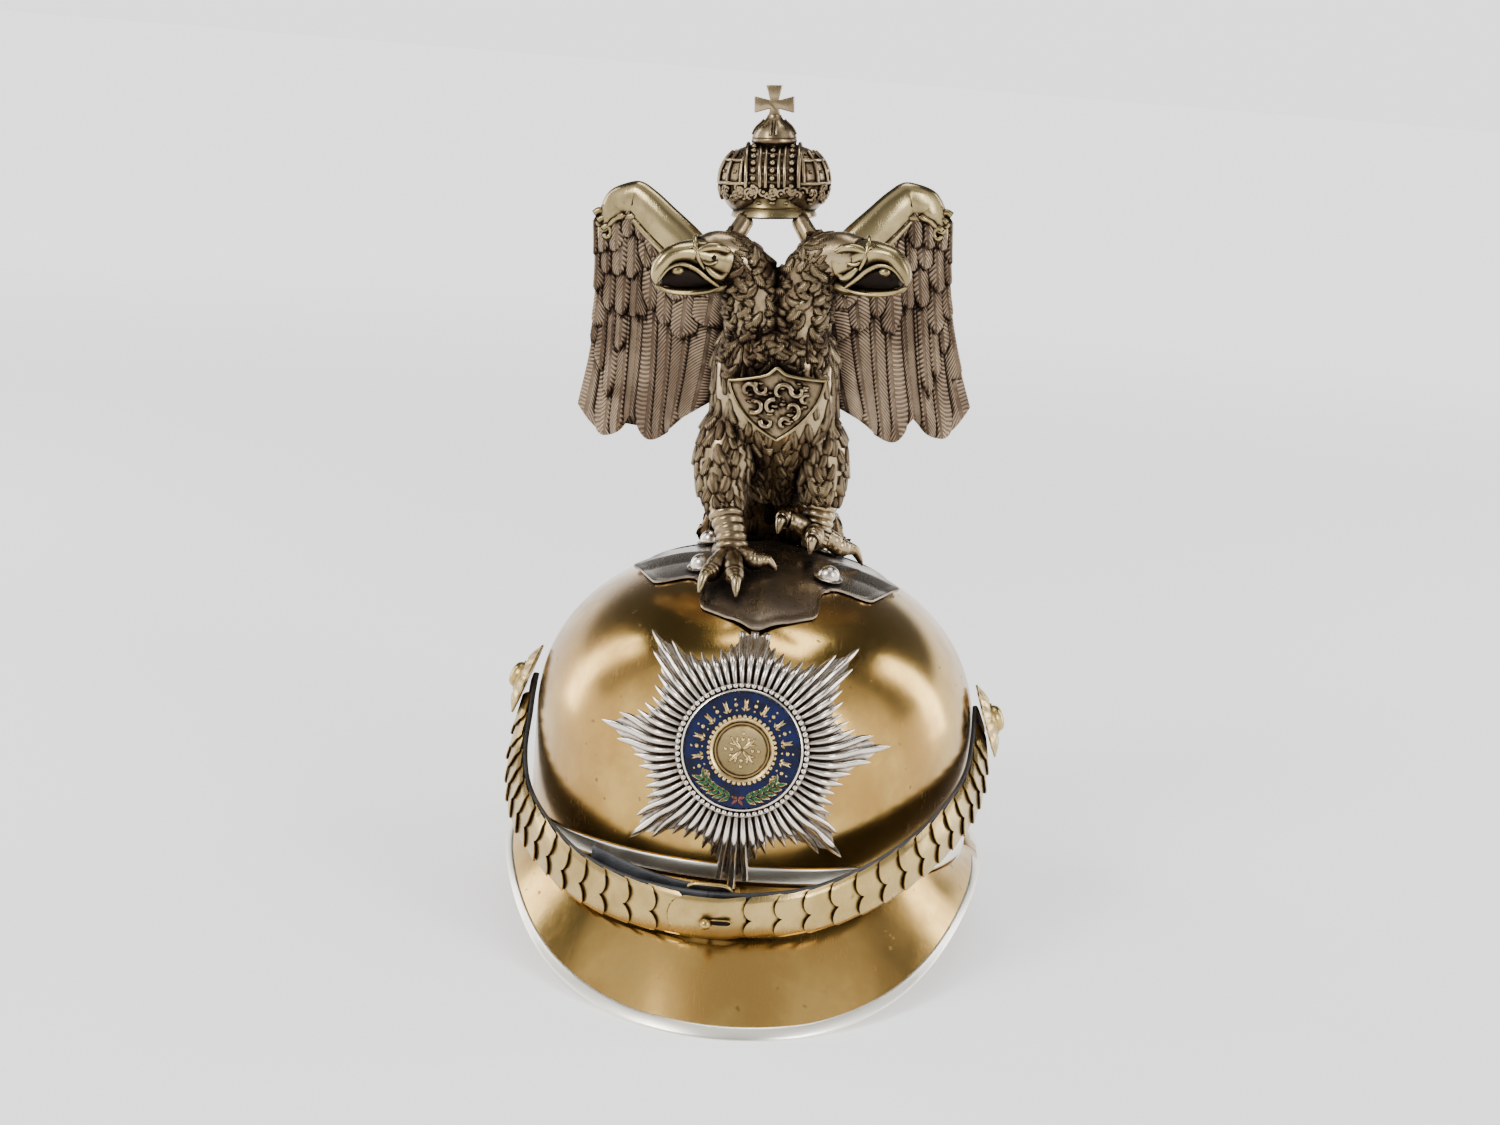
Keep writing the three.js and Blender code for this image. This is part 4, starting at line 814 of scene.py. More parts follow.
def front_point(right, up):
    """A place on the dome's front, found by walking up it from the star's middle"""
    x = STAR_BEND_RADIUS * math.sin(right / STAR_BEND_RADIUS)
    height = STAR_HEIGHT
    for _ in range(12):
        slope = SKULL_FRONT * (skull_share(height + 0.5) - skull_share(height - 0.5))
        height += up / 12 / math.hypot(1, slope)
    inside = max(0.05, skull_share(height) ** 2 - (x / SKULL_HALF_WIDTH) ** 2)
    return Vector((x, -SKULL_FRONT * math.sqrt(inside), height))


STAR_MIDDLE = front_point(0, 0)
STAR_UP = (front_point(0, 5) - front_point(0, -5)).normalized()
STAR_OUT = STAR_UP.cross(Vector((-1, 0, 0))).normalized()
if STAR_OUT.y > 0:
    STAR_OUT.negate()


def star_point(right, up, lift):
    """A place on the star: flat in its middle, bent to the dome towards its rays"""
    flat = STAR_MIDDLE + STAR_UP * up
    flat.x = right
    away = smooth(math.hypot(right, up), STAR_FLAT_RADIUS, STAR_RADIUS * 0.8)
    return flat.lerp(front_point(right, up), away) + STAR_OUT * (1.1 + 2 * away + lift)


def on_star(x, y, z):
    """A place over the star's flat middle: right, up, out"""
    point = STAR_MIDDLE + STAR_UP * y
    point.x = x
    return point + STAR_OUT * (1.1 + z)


def ray_length(ray):
    """Rays are longest in the eight points and shortest between them"""
    per_point = STAR_RAYS / STAR_POINTS
    aside = abs(((ray + per_point / 2) % per_point) - per_point / 2) / (per_point / 2)
    upright = 0.92 if ray % (STAR_RAYS // 2) == 0 else 1
    return STAR_RADIUS * upright * (1 - 0.2 * min(1, aside * 2) - 0.13 * aside)


# Rays with square ends, counted from the top, and how far the upper ones reach under the plate
SQUARE_TOP_REACH = 53.5
SQUARE_TOP_RAYS = (0, 1, 63)
SQUARE_LOW_RAYS = (31, 32, 33)
RAY_START = RING_OUTER - 2
RAY_TIP = 6.5
BACKING_INSET = 4.5
BEADS = 66
BEAD_ROW = 25.7


def around(radius, turn):
    """Right and up of a place on the star, its turn counted from the top"""
    return radius * math.sin(turn), radius * math.cos(turn)


def star_backing(u, v):
    """The thin sheet behind the rays, a little short of their tips"""
    at = u * STAR_RAYS
    ray = int(at)
    edge = mix(ray_length(ray), ray_length(ray + 1), at - ray) - BACKING_INSET
    # The square rays of the top are shorter, and the sheet behind them too
    if min(u, 1 - u) < 0.03:
        edge = min(edge, SQUARE_TOP_REACH - 2)
    return star_point(*around(edge * v, math.tau * u), 0.3)


def add_ray(bm, ray):
    """A half-round ray that narrows at its tip, or ends square"""
    turn = math.tau * ray / STAR_RAYS
    square = ray in SQUARE_TOP_RAYS + SQUARE_LOW_RAYS
    reach = min(ray_length(ray), SQUARE_TOP_REACH) if ray in SQUARE_TOP_RAYS else ray_length(ray)
    widest = 1.75 if ray % (STAR_RAYS // STAR_POINTS) == 0 else 1.55

    def shape(u, v):
        radius = mix(RAY_START, reach, v ** 0.75)
        taper = 1 if square else clamp((reach - radius) / RAY_TIP)
        half = min(radius * math.tan(math.pi / STAR_RAYS) * 0.86, widest)
        half *= taper ** 0.62
        across = math.cos(math.tau * u) * half
        rise = math.sin(math.tau * u)
        thick = 1.0 + 0.75 * half
        lift = 0.35 + (rise * thick if rise > 0 else rise * 0.3) * max(0.25, taper ** 0.5)
        x, y = around(radius, turn)
        return star_point(x + across * math.cos(turn), y - across * math.sin(turn), lift)

    tube(bm, 12, 16, shape)


def make_star():
    bm = bmesh.new()
    sheet(bm, STAR_RAYS * 2, 10, star_backing)
    for ray in range(STAR_RAYS):
        add_ray(bm, ray)
    rays = finish("star_ray_plate", bm, STAR_SILVER, ["star_rays"], crease=60)

    bm = bmesh.new()
    turned(bm, [
        (RING_INNER, STAR_FACE), (RING_OUTER + 0.2, STAR_FACE), (RING_OUTER + 0.2, STAR_FACE + 0.9),
        (RING_INNER + 1.2, STAR_FACE + 1.1), (RING_INNER + 1.0, STAR_FACE + 2.6),
        (RING_INNER + 0.3, STAR_FACE + 2.8), (RING_INNER, STAR_FACE + 2.2), (RING_INNER, STAR_FACE),
    ], 96, on_star)
    for bead in range(BEADS):
        middle = on_star(*around(BEAD_ROW, math.tau * bead / BEADS), STAR_FACE + 1.3)
        ball(bm, middle, 1.25, u=10, v=6)
    ring = finish("star_bead_ring", bm, STAR_SILVER, ["star_ring"], crease=70)

    bm = bmesh.new()
    turned(bm, [
        (0, STAR_FACE), (RING_INNER - 0.3, STAR_FACE), (RING_INNER - 0.3, STAR_FACE + 1.2),
        (15, STAR_FACE + 1.7), (0, STAR_FACE + 1.8),
    ], 72, on_star)
    finish("star_enamel_disc", bm, BLUE_ENAMEL, ["star_enamel"])
    return [rays, ring]


def leaf(bm, x, y, turn, length, width, lift):
    """A small raised leaf on the star's disc"""
    def shape(u, v):
        along = length * v
        half = width / 2 * math.sin(math.pi * v ** 0.8) * math.cos(math.tau * u)
        rise = max(0, math.sin(math.tau * u)) * 0.8 * math.sin(math.pi * v) ** 0.5
        px = x + along * math.sin(turn) + half * math.cos(turn)
        py = y + along * math.cos(turn) - half * math.sin(turn)
        return on_star(px, py, lift + rise)

    tube(bm, 8, 6, shape)


# Ornament, laurel and dish on the enamel disc
ORNAMENT_MARKS = 21
ORNAMENT_SPAN = 128
ORNAMENT_ROW = 18.2
# The dots of a row: how far out, lift, radius, sides and rings of the ball
ORNAMENT_DOTS = [(0, 0.35, 0.9, 10, 6), (2.2, 0.2, 0.5, 8, 5), (-2.2, 0.2, 0.5, 8, 5)]
ENAMEL_TOP = STAR_FACE + 1.25
LAUREL_ROW = 19.2
LAUREL_PAIRS = 6
LAUREL_START = 9
LAUREL_STEP = 7.8
DISH_BASE = STAR_FACE + 1.7
DISH_TEETH = 40
DISH_EDGE = 13.3


def make_ornament():
    """Forked figures and rows of three dots by turns, round the upper part of the disc"""
    bm = bmesh.new()
    for mark in range(ORNAMENT_MARKS):
        turn = math.radians(mix(-ORNAMENT_SPAN, ORNAMENT_SPAN, mark / (ORNAMENT_MARKS - 1)))
        if mark % 2:
            for out, lift, size, sides, rings in ORNAMENT_DOTS:
                middle = on_star(*around(ORNAMENT_ROW + out, turn), ENAMEL_TOP + lift)
                ball(bm, middle, size, u=sides, v=rings)
            continue
        foot = ORNAMENT_ROW - 2.7
        for part in (-1, 1):
            beside = turn + part * 0.05
            leaf(bm, *around(foot, beside), beside - part * 0.35, 5.6, 1.5, ENAMEL_TOP)
            leaf(bm, *around(foot, turn), turn + part * 0.9, 2.6, 1.1, ENAMEL_TOP)
    return finish("star_ornament", bm, GILT, crease=60)


def make_laurel():
    """Two sprays of paired leaves from the foot of the disc, each leaf over a gilt one, and a bow"""
    bm = bmesh.new()
    gilt_edges = bmesh.new()
    for side in (-1, 1):
        for pair in range(LAUREL_PAIRS):
            turn = math.radians(180 - side * (LAUREL_START + pair * LAUREL_STEP))
            x, y = around(LAUREL_ROW, turn)
            for part in (-1, 1):
                heading = turn - side * (math.pi / 2) + part * 0.6 * side
                leaf(bm, x, y, heading, 4.6, 1.35, ENAMEL_TOP + 0.45)
                leaf(gilt_edges, x, y, heading, 5.2, 2.0, ENAMEL_TOP)
    finish("star_laurel_edges", gilt_edges, GILT, crease=60)
    finish("star_laurel", bm, GREEN_ENAMEL, crease=60)

    bm = bmesh.new()
    for side in (-1, 1):
        leaf(bm, 0, -19.4, math.pi + side * 0.75, 3.6, 1.5, ENAMEL_TOP + 0.2)
        leaf(bm, 0, -19.4, side * 1.25, 3.2, 1.6, ENAMEL_TOP + 0.2)
    finish("star_bow", bm, RED_ENAMEL, crease=60)


def make_medallion():
    """A dish with a toothed rim and a raised inner ring, and a plain crossed figure in it"""
    bm = bmesh.new()
    dish = [
        (0, 0), (13.2, 0), (13.4, 1.3), (12.6, 2.0), (11.2, 1.2), (10.6, 0.9), (9, 0.5), (0, 0.3),
    ]
    turned(bm, [(radius, DISH_BASE + height) for radius, height in dish], 72, on_star)
    for tooth in range(DISH_TEETH):
        middle = on_star(*around(DISH_EDGE, math.tau * tooth / DISH_TEETH), DISH_BASE + 1.2)
        ball(bm, middle, 0.95, u=8, v=6)
    inner_ring = [(10.1, 0.4), (11.1, 0.4), (10.9, 1.9), (10.4, 1.9), (10.1, 0.4)]
    turned(bm, [(radius, DISH_BASE + height) for radius, height in inner_ring], 60, on_star)
    medal = finish("star_medallion_dish", bm, GILT, ["star_medallion"], crease=60)

    bm = bmesh.new()
    for quarter in range(4):
        turn = math.pi / 4 + quarter * math.pi / 2
        leaf(bm, 0, 0, turn, 7.4, 2.0, DISH_BASE + 0.5)
        for part in (-1, 1):
            leaf(bm, *around(3, turn), turn + part * 0.7, 3.6, 1.4, DISH_BASE + 0.5)
        for radius, lift, size in ((6.6, 0.6, 0.8), (4.2, 0.7, 0.9)):
            ball(bm, on_star(*around(radius, turn + 0.785), DISH_BASE + lift), size, u=8, v=6)
    figure = finish("star_figure", bm, GILT, crease=60)
    return [medal, figure]


def make_star_middle():
    ornament = make_ornament()
    make_laurel()
    return [ornament, *make_medallion()]


# Base plate and screws

def plate_reach(turn):
    """Share of a lobe's length that the plate reaches at a turn"""
    quarter = math.degrees(turn) % 90
    return eased_table(PLATE_OUTLINE, min(quarter, 90 - quarter))


def plate_sheet(lift):
    """One face of the plate, creased along its two long axes and raised along its edge"""
    def place(u, v):
        turn = math.tau * u
        reach = plate_reach(turn) * v
        x = PLATE_SIDE_REACH * reach * math.sin(turn)
        y = -PLATE_FRONT_REACH * reach * math.cos(turn)
        beside = min(abs(x), abs(y))
        far = smooth(max(abs(x), abs(y)), 8, 40)
        crease = 1.7 * max(0, 1 - beside / 13) * far
        edge = 0.5 * smooth(v, 0.955, 0.975)
        return Vector((x, y, skull_top(x, y) + PLATE_LIFT + 0.3 + crease + edge + lift))
    return place


# A screw's collar and dome: radius, height
SCREW_PROFILE = [
    (0, -6), (1.6, -6), (1.6, 0), (6.2, 0), (6.3, 0.6), (5.6, 1.0), (4.8, 1.1), (4.7, 2.0), (4.3, 3.2),
    (3.4, 4.4), (2.0, 5.3), (0.8, 5.6), (0, 5.7),
]


def make_screw(number, x, y):
    """A domed screw standing square to the skull"""
    seat = Vector((x, y, skull_top(x, y) + PLATE_LIFT + PLATE_THICK + 0.3))
    normal = Vector((
        skull_top(x - 1, y) - skull_top(x + 1, y),
        skull_top(x, y - 1) - skull_top(x, y + 1),
        2,
    )).normalized()
    turn = normal.to_track_quat("Z", "Y")
    bm = bmesh.new()
    turned(bm, SCREW_PROFILE, 32, lambda px, py, pz: seat + turn @ Vector((px, py, pz)))
    name = f"plate_screw_{number}"
    return finish(f"{name}_dome", bm, STAR_SILVER, [name], crease=60)


def make_plate():
    bm = bmesh.new()
    for lift in (0, -0.9):
        sheet(bm, 256, 40, plate_sheet(lift))
    join_faces(bm)
    plate = finish("base_plate_sheet", bm, PLATE_SILVER, ["base_plate"], crease=50)
    places = [(sign_x * SCREW_X, sign_y * SCREW_Y) for sign_y in (-1, 1) for sign_x in (-1, 1)]
    return [plate, *(make_screw(number, x, y) for number, (x, y) in enumerate(places, 1))]


# Eagle

def lean(point):
    """A place on the upright eagle moved to where the leaning one stands"""
    turn = EAGLE_LEAN * smooth(point.z, 0, EAGLE_LEAN_HEIGHT)
    return Vector((
        point.x * math.cos(turn) - point.z * math.sin(turn),
        point.y,
        EAGLE_BASE + point.x * math.sin(turn) + point.z * math.cos(turn),
    ))


def lean_all(bm):
    for vert in bm.verts:
        vert.co = lean(vert.co)


def stand_on_plate(bm):
    """What would sink into the base plate is lifted onto it"""
    for vert in bm.verts:
        floor = skull_top(vert.co.x, vert.co.y) + PLATE_LIFT + PLATE_THICK + 0.1
        vert.co.z = max(vert.co.z, floor)


def plate_drop(x, y):
    """How far the plate lies below its middle"""
    return skull_top(x, y) - SKULL_TOP


def fuse(bm, voxel, rounds):
    """Overlapping closed forms made one skin by voxel remesh, then softened"""
    mesh = bpy.data.meshes.new("fusing")
    bmesh.ops.recalc_face_normals(bm, faces=bm.faces)
    bm.to_mesh(mesh)
    bm.free()
    rough = bpy.data.objects.new("fusing", mesh)
    bpy.context.collection.objects.link(rough)
    remesh = rough.modifiers.new("remesh", "REMESH")
    remesh.mode = "VOXEL"
    remesh.voxel_size = voxel
    skin = bpy.data.meshes.new_from_object(rough.evaluated_get(bpy.context.evaluated_depsgraph_get()))
    bpy.data.objects.remove(rough)
    bpy.data.meshes.remove(mesh)
    fused = bmesh.new()
    fused.from_mesh(skin)
    bpy.data.meshes.remove(skin)
    for _ in range(rounds):
        bmesh.ops.smooth_vert(
            fused, verts=fused.verts, factor=0.5, use_axis_x=True, use_axis_y=True, use_axis_z=True)
    return fused


# A claw's sections: share from knuckle to tip, share of the drop, height added, half width and half depth
CLAW = [(0.42, 0.25, 1.6, 2.6, 2.6), (0.62, 0.4, 2.0, 2.3, 2.4), (0.86, 0.75, 0.9, 1.5, 1.6)]


def toe_rows(toe):
    foot, knuckle, claw = toe
    knuckle_z = plate_drop(knuckle[0], knuckle[1]) + knuckle[2]
    claw_z = plate_drop(claw[0], claw[1]) + claw[2]
    middle = [mix(foot[axis], knuckle[axis], 0.55) for axis in (0, 1)]
    rows = [
        (*foot, 5.0, 5.0),
        (*middle, mix(foot[2], knuckle_z, 0.5) + 1.6, TOE_RADIUS, TOE_RADIUS),
        (knuckle[0], knuckle[1], knuckle_z + 0.4, TOE_RADIUS, TOE_RADIUS),
    ]
    for share, drop, rise, wide, deep in CLAW:
        place = [mix(knuckle[axis], claw[axis], share) for axis in (0, 1)]
        rows.append((*place, mix(knuckle_z, claw_z, drop) + rise, wide, deep))
    rows.append((claw[0], claw[1], claw_z, 0.5, 0.5))
    return rows


def toe_relief(u, v):
    """Scutes round a toe, smooth on the claw"""
    return 0.42 * abs(math.sin(v * 34)) ** 0.6 * (1 - smooth(v, 0.48, 0.54))


def shank_relief(u, v):
    """Raised rings round the bare shank"""
    bare = smooth(v, 0.56, 0.6) * (1 - smooth(v, 0.93, 0.98))
    return (0.85 * abs(math.sin(v * 52)) ** 0.7 - 0.3) * bare


def feather(bm, tree, root, heading, length, width, rise, curl):
    """A raised feather draped on a body: its rim lies under the skin and its crown stands proud"""
    across, along, sink = 4, 6, 1.0
    nearest, normal, _, _ = tree.find_nearest(root)
    if nearest is None:
        return
    axis = [nearest.copy()]
    normals = [normal.copy()]
    direction = (heading - normal * heading.dot(normal)).normalized()
    point = nearest.copy()
    for step in range(along):
        turn = Quaternion(normals[-1], curl / along)
        direction = turn @ direction
        direction = (direction - normals[-1] * direction.dot(normals[-1])).normalized()
        point = point + direction * (length / along)
        near, face, _, _ = tree.find_nearest(point)
        if near is None:
            return
        point = near.copy()
        axis.append(point)
        normals.append(face.copy())

    def shape(u, v):
        step = min(along, int(round(v * along)))
        run = (axis[min(along, step + 1)] - axis[max(0, step - 1)]).normalized()
        up = normals[step]
        side = up.cross(run).normalized()
        s = 2 * u - 1
        half = width / 2 * math.sqrt(max(0.02, 1 - ((v - 0.5) / 0.52) ** 2 * 0.98))
        crown = rise * (0.35 + 0.65 * v) * (1 - smooth(v, 0.86, 1.0) * 1.2) * (1 - 0.55 * s * s)
        ridge = 0.22 * rise * math.exp(-(s / 0.22) ** 2)
        drop = sink if abs(s) > 0.95 or v > 0.97 else 0.0
        return axis[step] + side * s * half + up * (crown + ridge - drop)

    sheet(bm, across, along, shape, width, length)


# The row of the table where the wing's two lobes meet
WING_NOTCH = 4
WING_TOP_LINE = Route([(row[0], row[1], row[4]) for row in WING])
WING_LOBES = (
    Route([(row[2], row[3], 0) for row in WING[:WING_NOTCH + 1]]),
    Route([(row[2], row[3], 0) for row in WING[WING_NOTCH:]]),
)


def wing_point(across, down, side):
    """A place on the wing: across from root to outer edge, down from its top line to its lobed foot"""
    across = clamp(across)
    top = WING_TOP_LINE.at(across)
    notch = WING_NOTCH / (len(WING) - 1)
    if across < notch:
        foot = WING_LOBES[0].at(across / notch)
    else:
        foot = WING_LOBES[1].at((across - notch) / (1 - notch))
    bow = math.sin(math.pi * min(1, down * 0.9)) * across
    return Vector((
        side * (mix(top.x, foot.x, max(0, down) ** 1.6) - bow * 1.5),
        top.z + 12 * down * across - 6 * bow,
        mix(top.y, foot.y, down),
    ))


def wing_face(across, down, side):
    """A place on the wing's middle surface and the way that faces the front there"""
    step = 0.02
    over = wing_point(across + step, down, side) - wing_point(across - step, down, side)
    low, high = min(1, down + step), max(0, down - step)
    below = wing_point(across, low, side) - wing_point(across, high, side)
    face = over.cross(below).normalized()
    if face.y > 0:
        face.negate()
    return wing_point(across, down, side), face


# The wing's own width and length, for the measure of its feathers
WING_ACROSS = 62
WING_DOWN = 95


def wing_feather(bm, side, middle, half, top, bottom, lift, curl):
    """A long feather laid on the wing with a rounded tip, its shaft raised, one edge over the next feather"""
    drift, tilt = 0.012, 0.9
    tip = half * WING_ACROSS / (WING_DOWN * (bottom - top))
    blunt = 0.5 if bottom == 1 else 0.02

    def shape(u, v):
        turn = math.tau * u
        s = math.cos(turn)
        front = math.sin(turn)
        down = mix(top, bottom, v)
        narrow = math.sqrt(max(blunt, 1 - clamp((v - 1 + tip) / tip) ** 2)) * mix(0.8, 1, smooth(v, 0, 0.4))
        centre = middle + drift * v * v
        point, face = wing_face(clamp(centre + s * half * narrow), clamp(down, 0, 1.0), side)
        rise = lift + tilt * s
        if front > 0:
            rise += 0.9 * math.exp(-(s / 0.1) ** 2) + 0.9 * (1 - s * s)
        return lean(point + face * (rise + 0.5 * front + curl * smooth(v, 0.6, 1.0)))

    made = sheet(bm, 18, 22, shape)
    uv_map = uv_layer(bm)
    for face in {face for vert in made for face in vert.link_faces}:
        for loop in face.loops:
            u, v = loop[uv_map].uv
            across_share = math.cos(math.tau * u) * half * WING_ACROSS / UV_UNIT
            loop[uv_map].uv = (0.5 + across_share, v * (bottom - top) * WING_DOWN / UV_UNIT)
    seal(bm, made)


# Layers of wing feathers: how many, first and last place across, half width, top, end and its swing,
# lift, curl
WING_LAYERS = [
    (8, 0.06, 0.94, 0.092, 0.2, 1.0, 0.0, 0.2, 1.2),
    (4, 0.72, 0.97, 0.06, 0.12, 0.74, 0.1, 1.4, 0.5),
    (8, 0.06, 0.95, 0.082, 0.1, 0.52, 0.05, 2.4, 0.4),
    (8, 0.12, 0.96, 0.08, 0.06, 0.36, 0.04, 3.7, 0.3),
    (7, 0.30, 0.97, 0.075, 0.05, 0.24, 0.02, 4.8, 0.2),
]
# The wing's arm: places across and down the wing, from the root over the wrist
WING_ARM = [
    (0.0, 0.01), (0.14, 0.01), (0.28, 0.01), (0.43, 0.01), (0.57, 0.01), (0.71, 0.01), (0.84, 0.01),
    (0.93, 0.03), (0.97, 0.08), (0.97, 0.15),
]
WRIST_CURLS = 3
CURL_STEPS = 8


def make_wing_feathers(side, name):
    bm = bmesh.new()
    for count, first, last, half, top, end, swing, lift, curl in WING_LAYERS:
        for i in range(count):
            middle = mix(first, last, i / (count - 1))
            bottom = end + swing * math.sin(i * 2.1 + side)
            wing_feather(bm, side, middle, half, top, bottom, lift + 0.25 * (i % 2), curl)
    return finish(f"{name}_feathers", bm, FEATHER_SILVER, [name], crease=70)


def add_wrist_curl(bm, side, number):
    """A small spiral at the wrist, each smaller and lower than the one before"""
    wrist, face = wing_face(0.9 - 0.03 * number, 0.1 + 0.035 * number, side)
    points = []
    for step in range(CURL_STEPS + 1):
        turn = 0.6 + step / CURL_STEPS * math.tau * 0.85
        size = mix(4.8 - 0.8 * number, 1.4, step / CURL_STEPS)
        bend = Vector((side * math.cos(turn) * size * 0.8, 0, math.sin(turn) * size))
        points.append(lean(wrist + face * (5.4 + 0.2 * step) + bend))
    rod(bm, points, lambda t: mix(1.7, 0.8, t), sides=8, steps=24)


def make_wing_arm(side, name):
    """The smooth arm along the wing's top, a roll under it and the curls at the wrist"""
    line = Route([wing_point(across, down, side) for across, down in WING_ARM])
    span = len(WING_ARM) - 1

    def place_on_arm(v, below, forward):
        k = min(int(v * span), span - 1)
        across, down = (mix(p, q, v * span - k) for p, q in zip(WING_ARM[k], WING_ARM[k + 1]))
        _, face = wing_face(clamp(across), down + 0.03, side)
        up = face.cross(line.along(v)).normalized()
        if up.z * (1 if v < 0.8 else 0) + side * up.x * v < 0:
            up.negate()
        return line.at(v) - up * below + face * forward

    def half_height(v):
        return mix(mix(9.5, 6.2, v), 2.6, smooth(v, 0.74, 1.0))

    def arm(u, v):
        turn = math.tau * u
        tall = half_height(v)
        below = tall * 0.92 - squared(math.cos(turn), 0.85) * tall
        return lean(place_on_arm(v, below, math.sin(turn) * mix(6.5, 4.2, v) + 2.2))

    def roll(u, v):
        turn = math.tau * u
        below = half_height(v * 0.9) * 1.85 - math.cos(turn) * 2.0
        return lean(place_on_arm(v * 0.9, below, math.sin(turn) * 2.4 + 4.2))

    bm = bmesh.new()
    tube(bm, 28, 48, arm)
    tube(bm, 12, 48, roll)
    for number in range(WRIST_CURLS):
        add_wrist_curl(bm, side, number)
    return finish(f"{name}_arm", bm, WORN_GILT, crease=60)


def make_wing(side, name):
    return [make_wing_feathers(side, name), make_wing_arm(side, name)]


# Raised lines on the right head: points of each, and its thickness
HEAD_RIDGES = [
    ([(25, -26.5, 134.5), (30, -30, 136.6), (35, -31.2, 136.4), (39, -32.4, 134.6)], 1.9),
    ([(38.6, -20, 139.2), (39.4, -26, 141.0), (39.2, -31.4, 138.2), (38, -33.2, 132.6),
      (35.6, -31.6, 127.6)], 1.0),
    ([(29.6, -28.4, 120), (34, -30.6, 123.4), (39, -32.6, 127.6), (44.4, -34.6, 129.8),
      (50, -36.8, 128.4), (54.4, -38.6, 123)], 1.1),
    ([(28.6, -27.4, 120), (34, -28.8, 118), (42, -32, 117.4), (49, -35.6, 118.2), (55, -38, 121)], 0.9),
    ([(30, -30, 130.6), (33.6, -31.4, 129.8), (37, -31.8, 131.2)], 0.8),
    ([(40.4, -33.8, 137.4), (41.8, -34, 135.6), (40.4, -33.8, 133.8), (39.2, -33.6, 135.6),
      (40.4, -33.8, 137.4)], 0.6),
    ([(26, -26, 126), (29, -28.6, 124), (32, -30, 125.6), (35, -31, 128.6)], 1.6),
]


def head_x(x, side):
    """The left head sits closer in than the right one"""
    return x + HEAD_SHIFT if side > 0 else HEAD_SHIFT + LEFT_BEAK_BACK - x


def head_points(side):
    """Places on the right head, moved to the head on a side"""
    return lambda x, y, z: Vector((head_x(x, side), y, z))


def head_rows(rows, side):
    return [(head_x(row[0], side), *row[1:]) for row in rows]


def neck_rows(side):
    share = 1 if side > 0 else LEFT_HEAD_SHARE
    return [(row[0] * side * share + HEAD_SHIFT, *row[1:]) for row in NECK]


# Rows of small feathers: rows along a loft and feathers in a row, first and last share along it,
# length, width, height, bend
NECK_FEATHERS = ((9, 13), 0.0, 0.50, 10.0, 5.4, 2.2, 1.5)
NAPE_FEATHERS = ((6, 13), 0.48, 0.66, 6.0, 3.4, 0.9, 0.5)
BREAST_FEATHERS = ((6, 30), 0.66, 0.93, 12.0, 2.9, 0.9, 0.2)
BELLY_FEATHERS = ((8, 20), 0.10, 0.62, 10.0, 5.6, 1.2, 0.3)
LEG_FEATHERS = ((8, 11), 0.02, 0.52, 9.5, 5.6, 1.8, 0.6)
TAIL_FEATHERS = ((5, 13), 0.1, 0.95, 15, 6.0, 1.2, 0.1)


def eagle_skin():
    """Trunk, thighs, tail, necks and the crown's two props as one skin"""
    bm = bmesh.new()
    loft(bm, TORSO, 28, 30)
    for leg in (LEG_FORWARD, LEG_BACK):
        loft(bm, leg[:4], 20, 24)
    loft(bm, TAIL, 24, 16)
    reach = CROWN_BAND_RADIUS - 1
    for side in (-1, 1):
        loft(bm, neck_rows(side), 24, 34)
        foot = (side * 20 + CROWN_X, -10, 133)
        head = (side * reach * 0.7 + CROWN_X, CROWN_Y - reach * 0.7, CROWN_BOTTOM)
        rod(bm, [foot, head], lambda t: mix(4.8, 4.0, t), sides=14, steps=8)
    body = fuse(bm, 0.9, 2)
    bmesh.ops.recalc_face_normals(body, faces=body.faces)
    return body


def make_plumage(body):
    """Small feathers in rows over necks, trunk, thighs and tail"""
    tree = BVHTree.FromBMesh(body)
    bm = bmesh.new()
    rng = random.Random(7)

    def lay(rows, kind, heading):
        (levels, per_row), low, high, length, width, rise, curl = kind
        route = Route([row[:3] for row in rows])
        sizes = Route([(row[3], row[4], 0) for row in rows])
        for level in range(levels):
            t = mix(high, low, level / max(1, levels - 1))
            run = route.along(t)
            right = Vector((0, 1, 0)).cross(run).normalized()
            front = run.cross(right)
            size = sizes.at(t)
            for k in range(per_row):
                share = (k + 0.5 * (level % 2)) / per_row
                turn = math.radians(360 * share) + rng.uniform(-0.08, 0.08)
                place = route.at(t) + right * math.sin(turn) * size.x + front * math.cos(turn) * size.y
                grow = rng.uniform(0.85, 1.15)
                bend = curl * rng.uniform(0.7, 1.3) * (1 if k % 2 else -1)
                feather(bm, tree, place, Vector(heading), length * grow, width * grow, rise * grow, bend)

    for side in (-1, 1):
        lay(neck_rows(side), NECK_FEATHERS, (0.1 * side, 0, -1))
        lay(neck_rows(side), NAPE_FEATHERS, (-0.9 * side, 0.2, -0.5))
    lay(TORSO, BREAST_FEATHERS, (0, 0, -1))
    lay(TORSO, BELLY_FEATHERS, (0, 0.1, -1))
    for leg in (LEG_FORWARD, LEG_BACK):
        lay(leg, LEG_FEATHERS, (0, 0, -1))
    lay(TAIL, TAIL_FEATHERS, (0, 0.6, -0.75))
    lean_all(bm)
    return finish("eagle_plumage", bm, SMALL_FEATHER, crease=75)


def make_feet():
    """Ringed shanks and toes"""
    bm = bmesh.new()
    for leg in (LEG_FORWARD, LEG_BACK):
        loft(bm, leg, 28, 110, relief=shank_relief)
    for toe in TOES:
        loft(bm, toe_rows(toe), 18, 64, relief=toe_relief)
    lean_all(bm)
    stand_on_plate(bm)
    return finish("eagle_feet", bm, SILVER, crease=60)


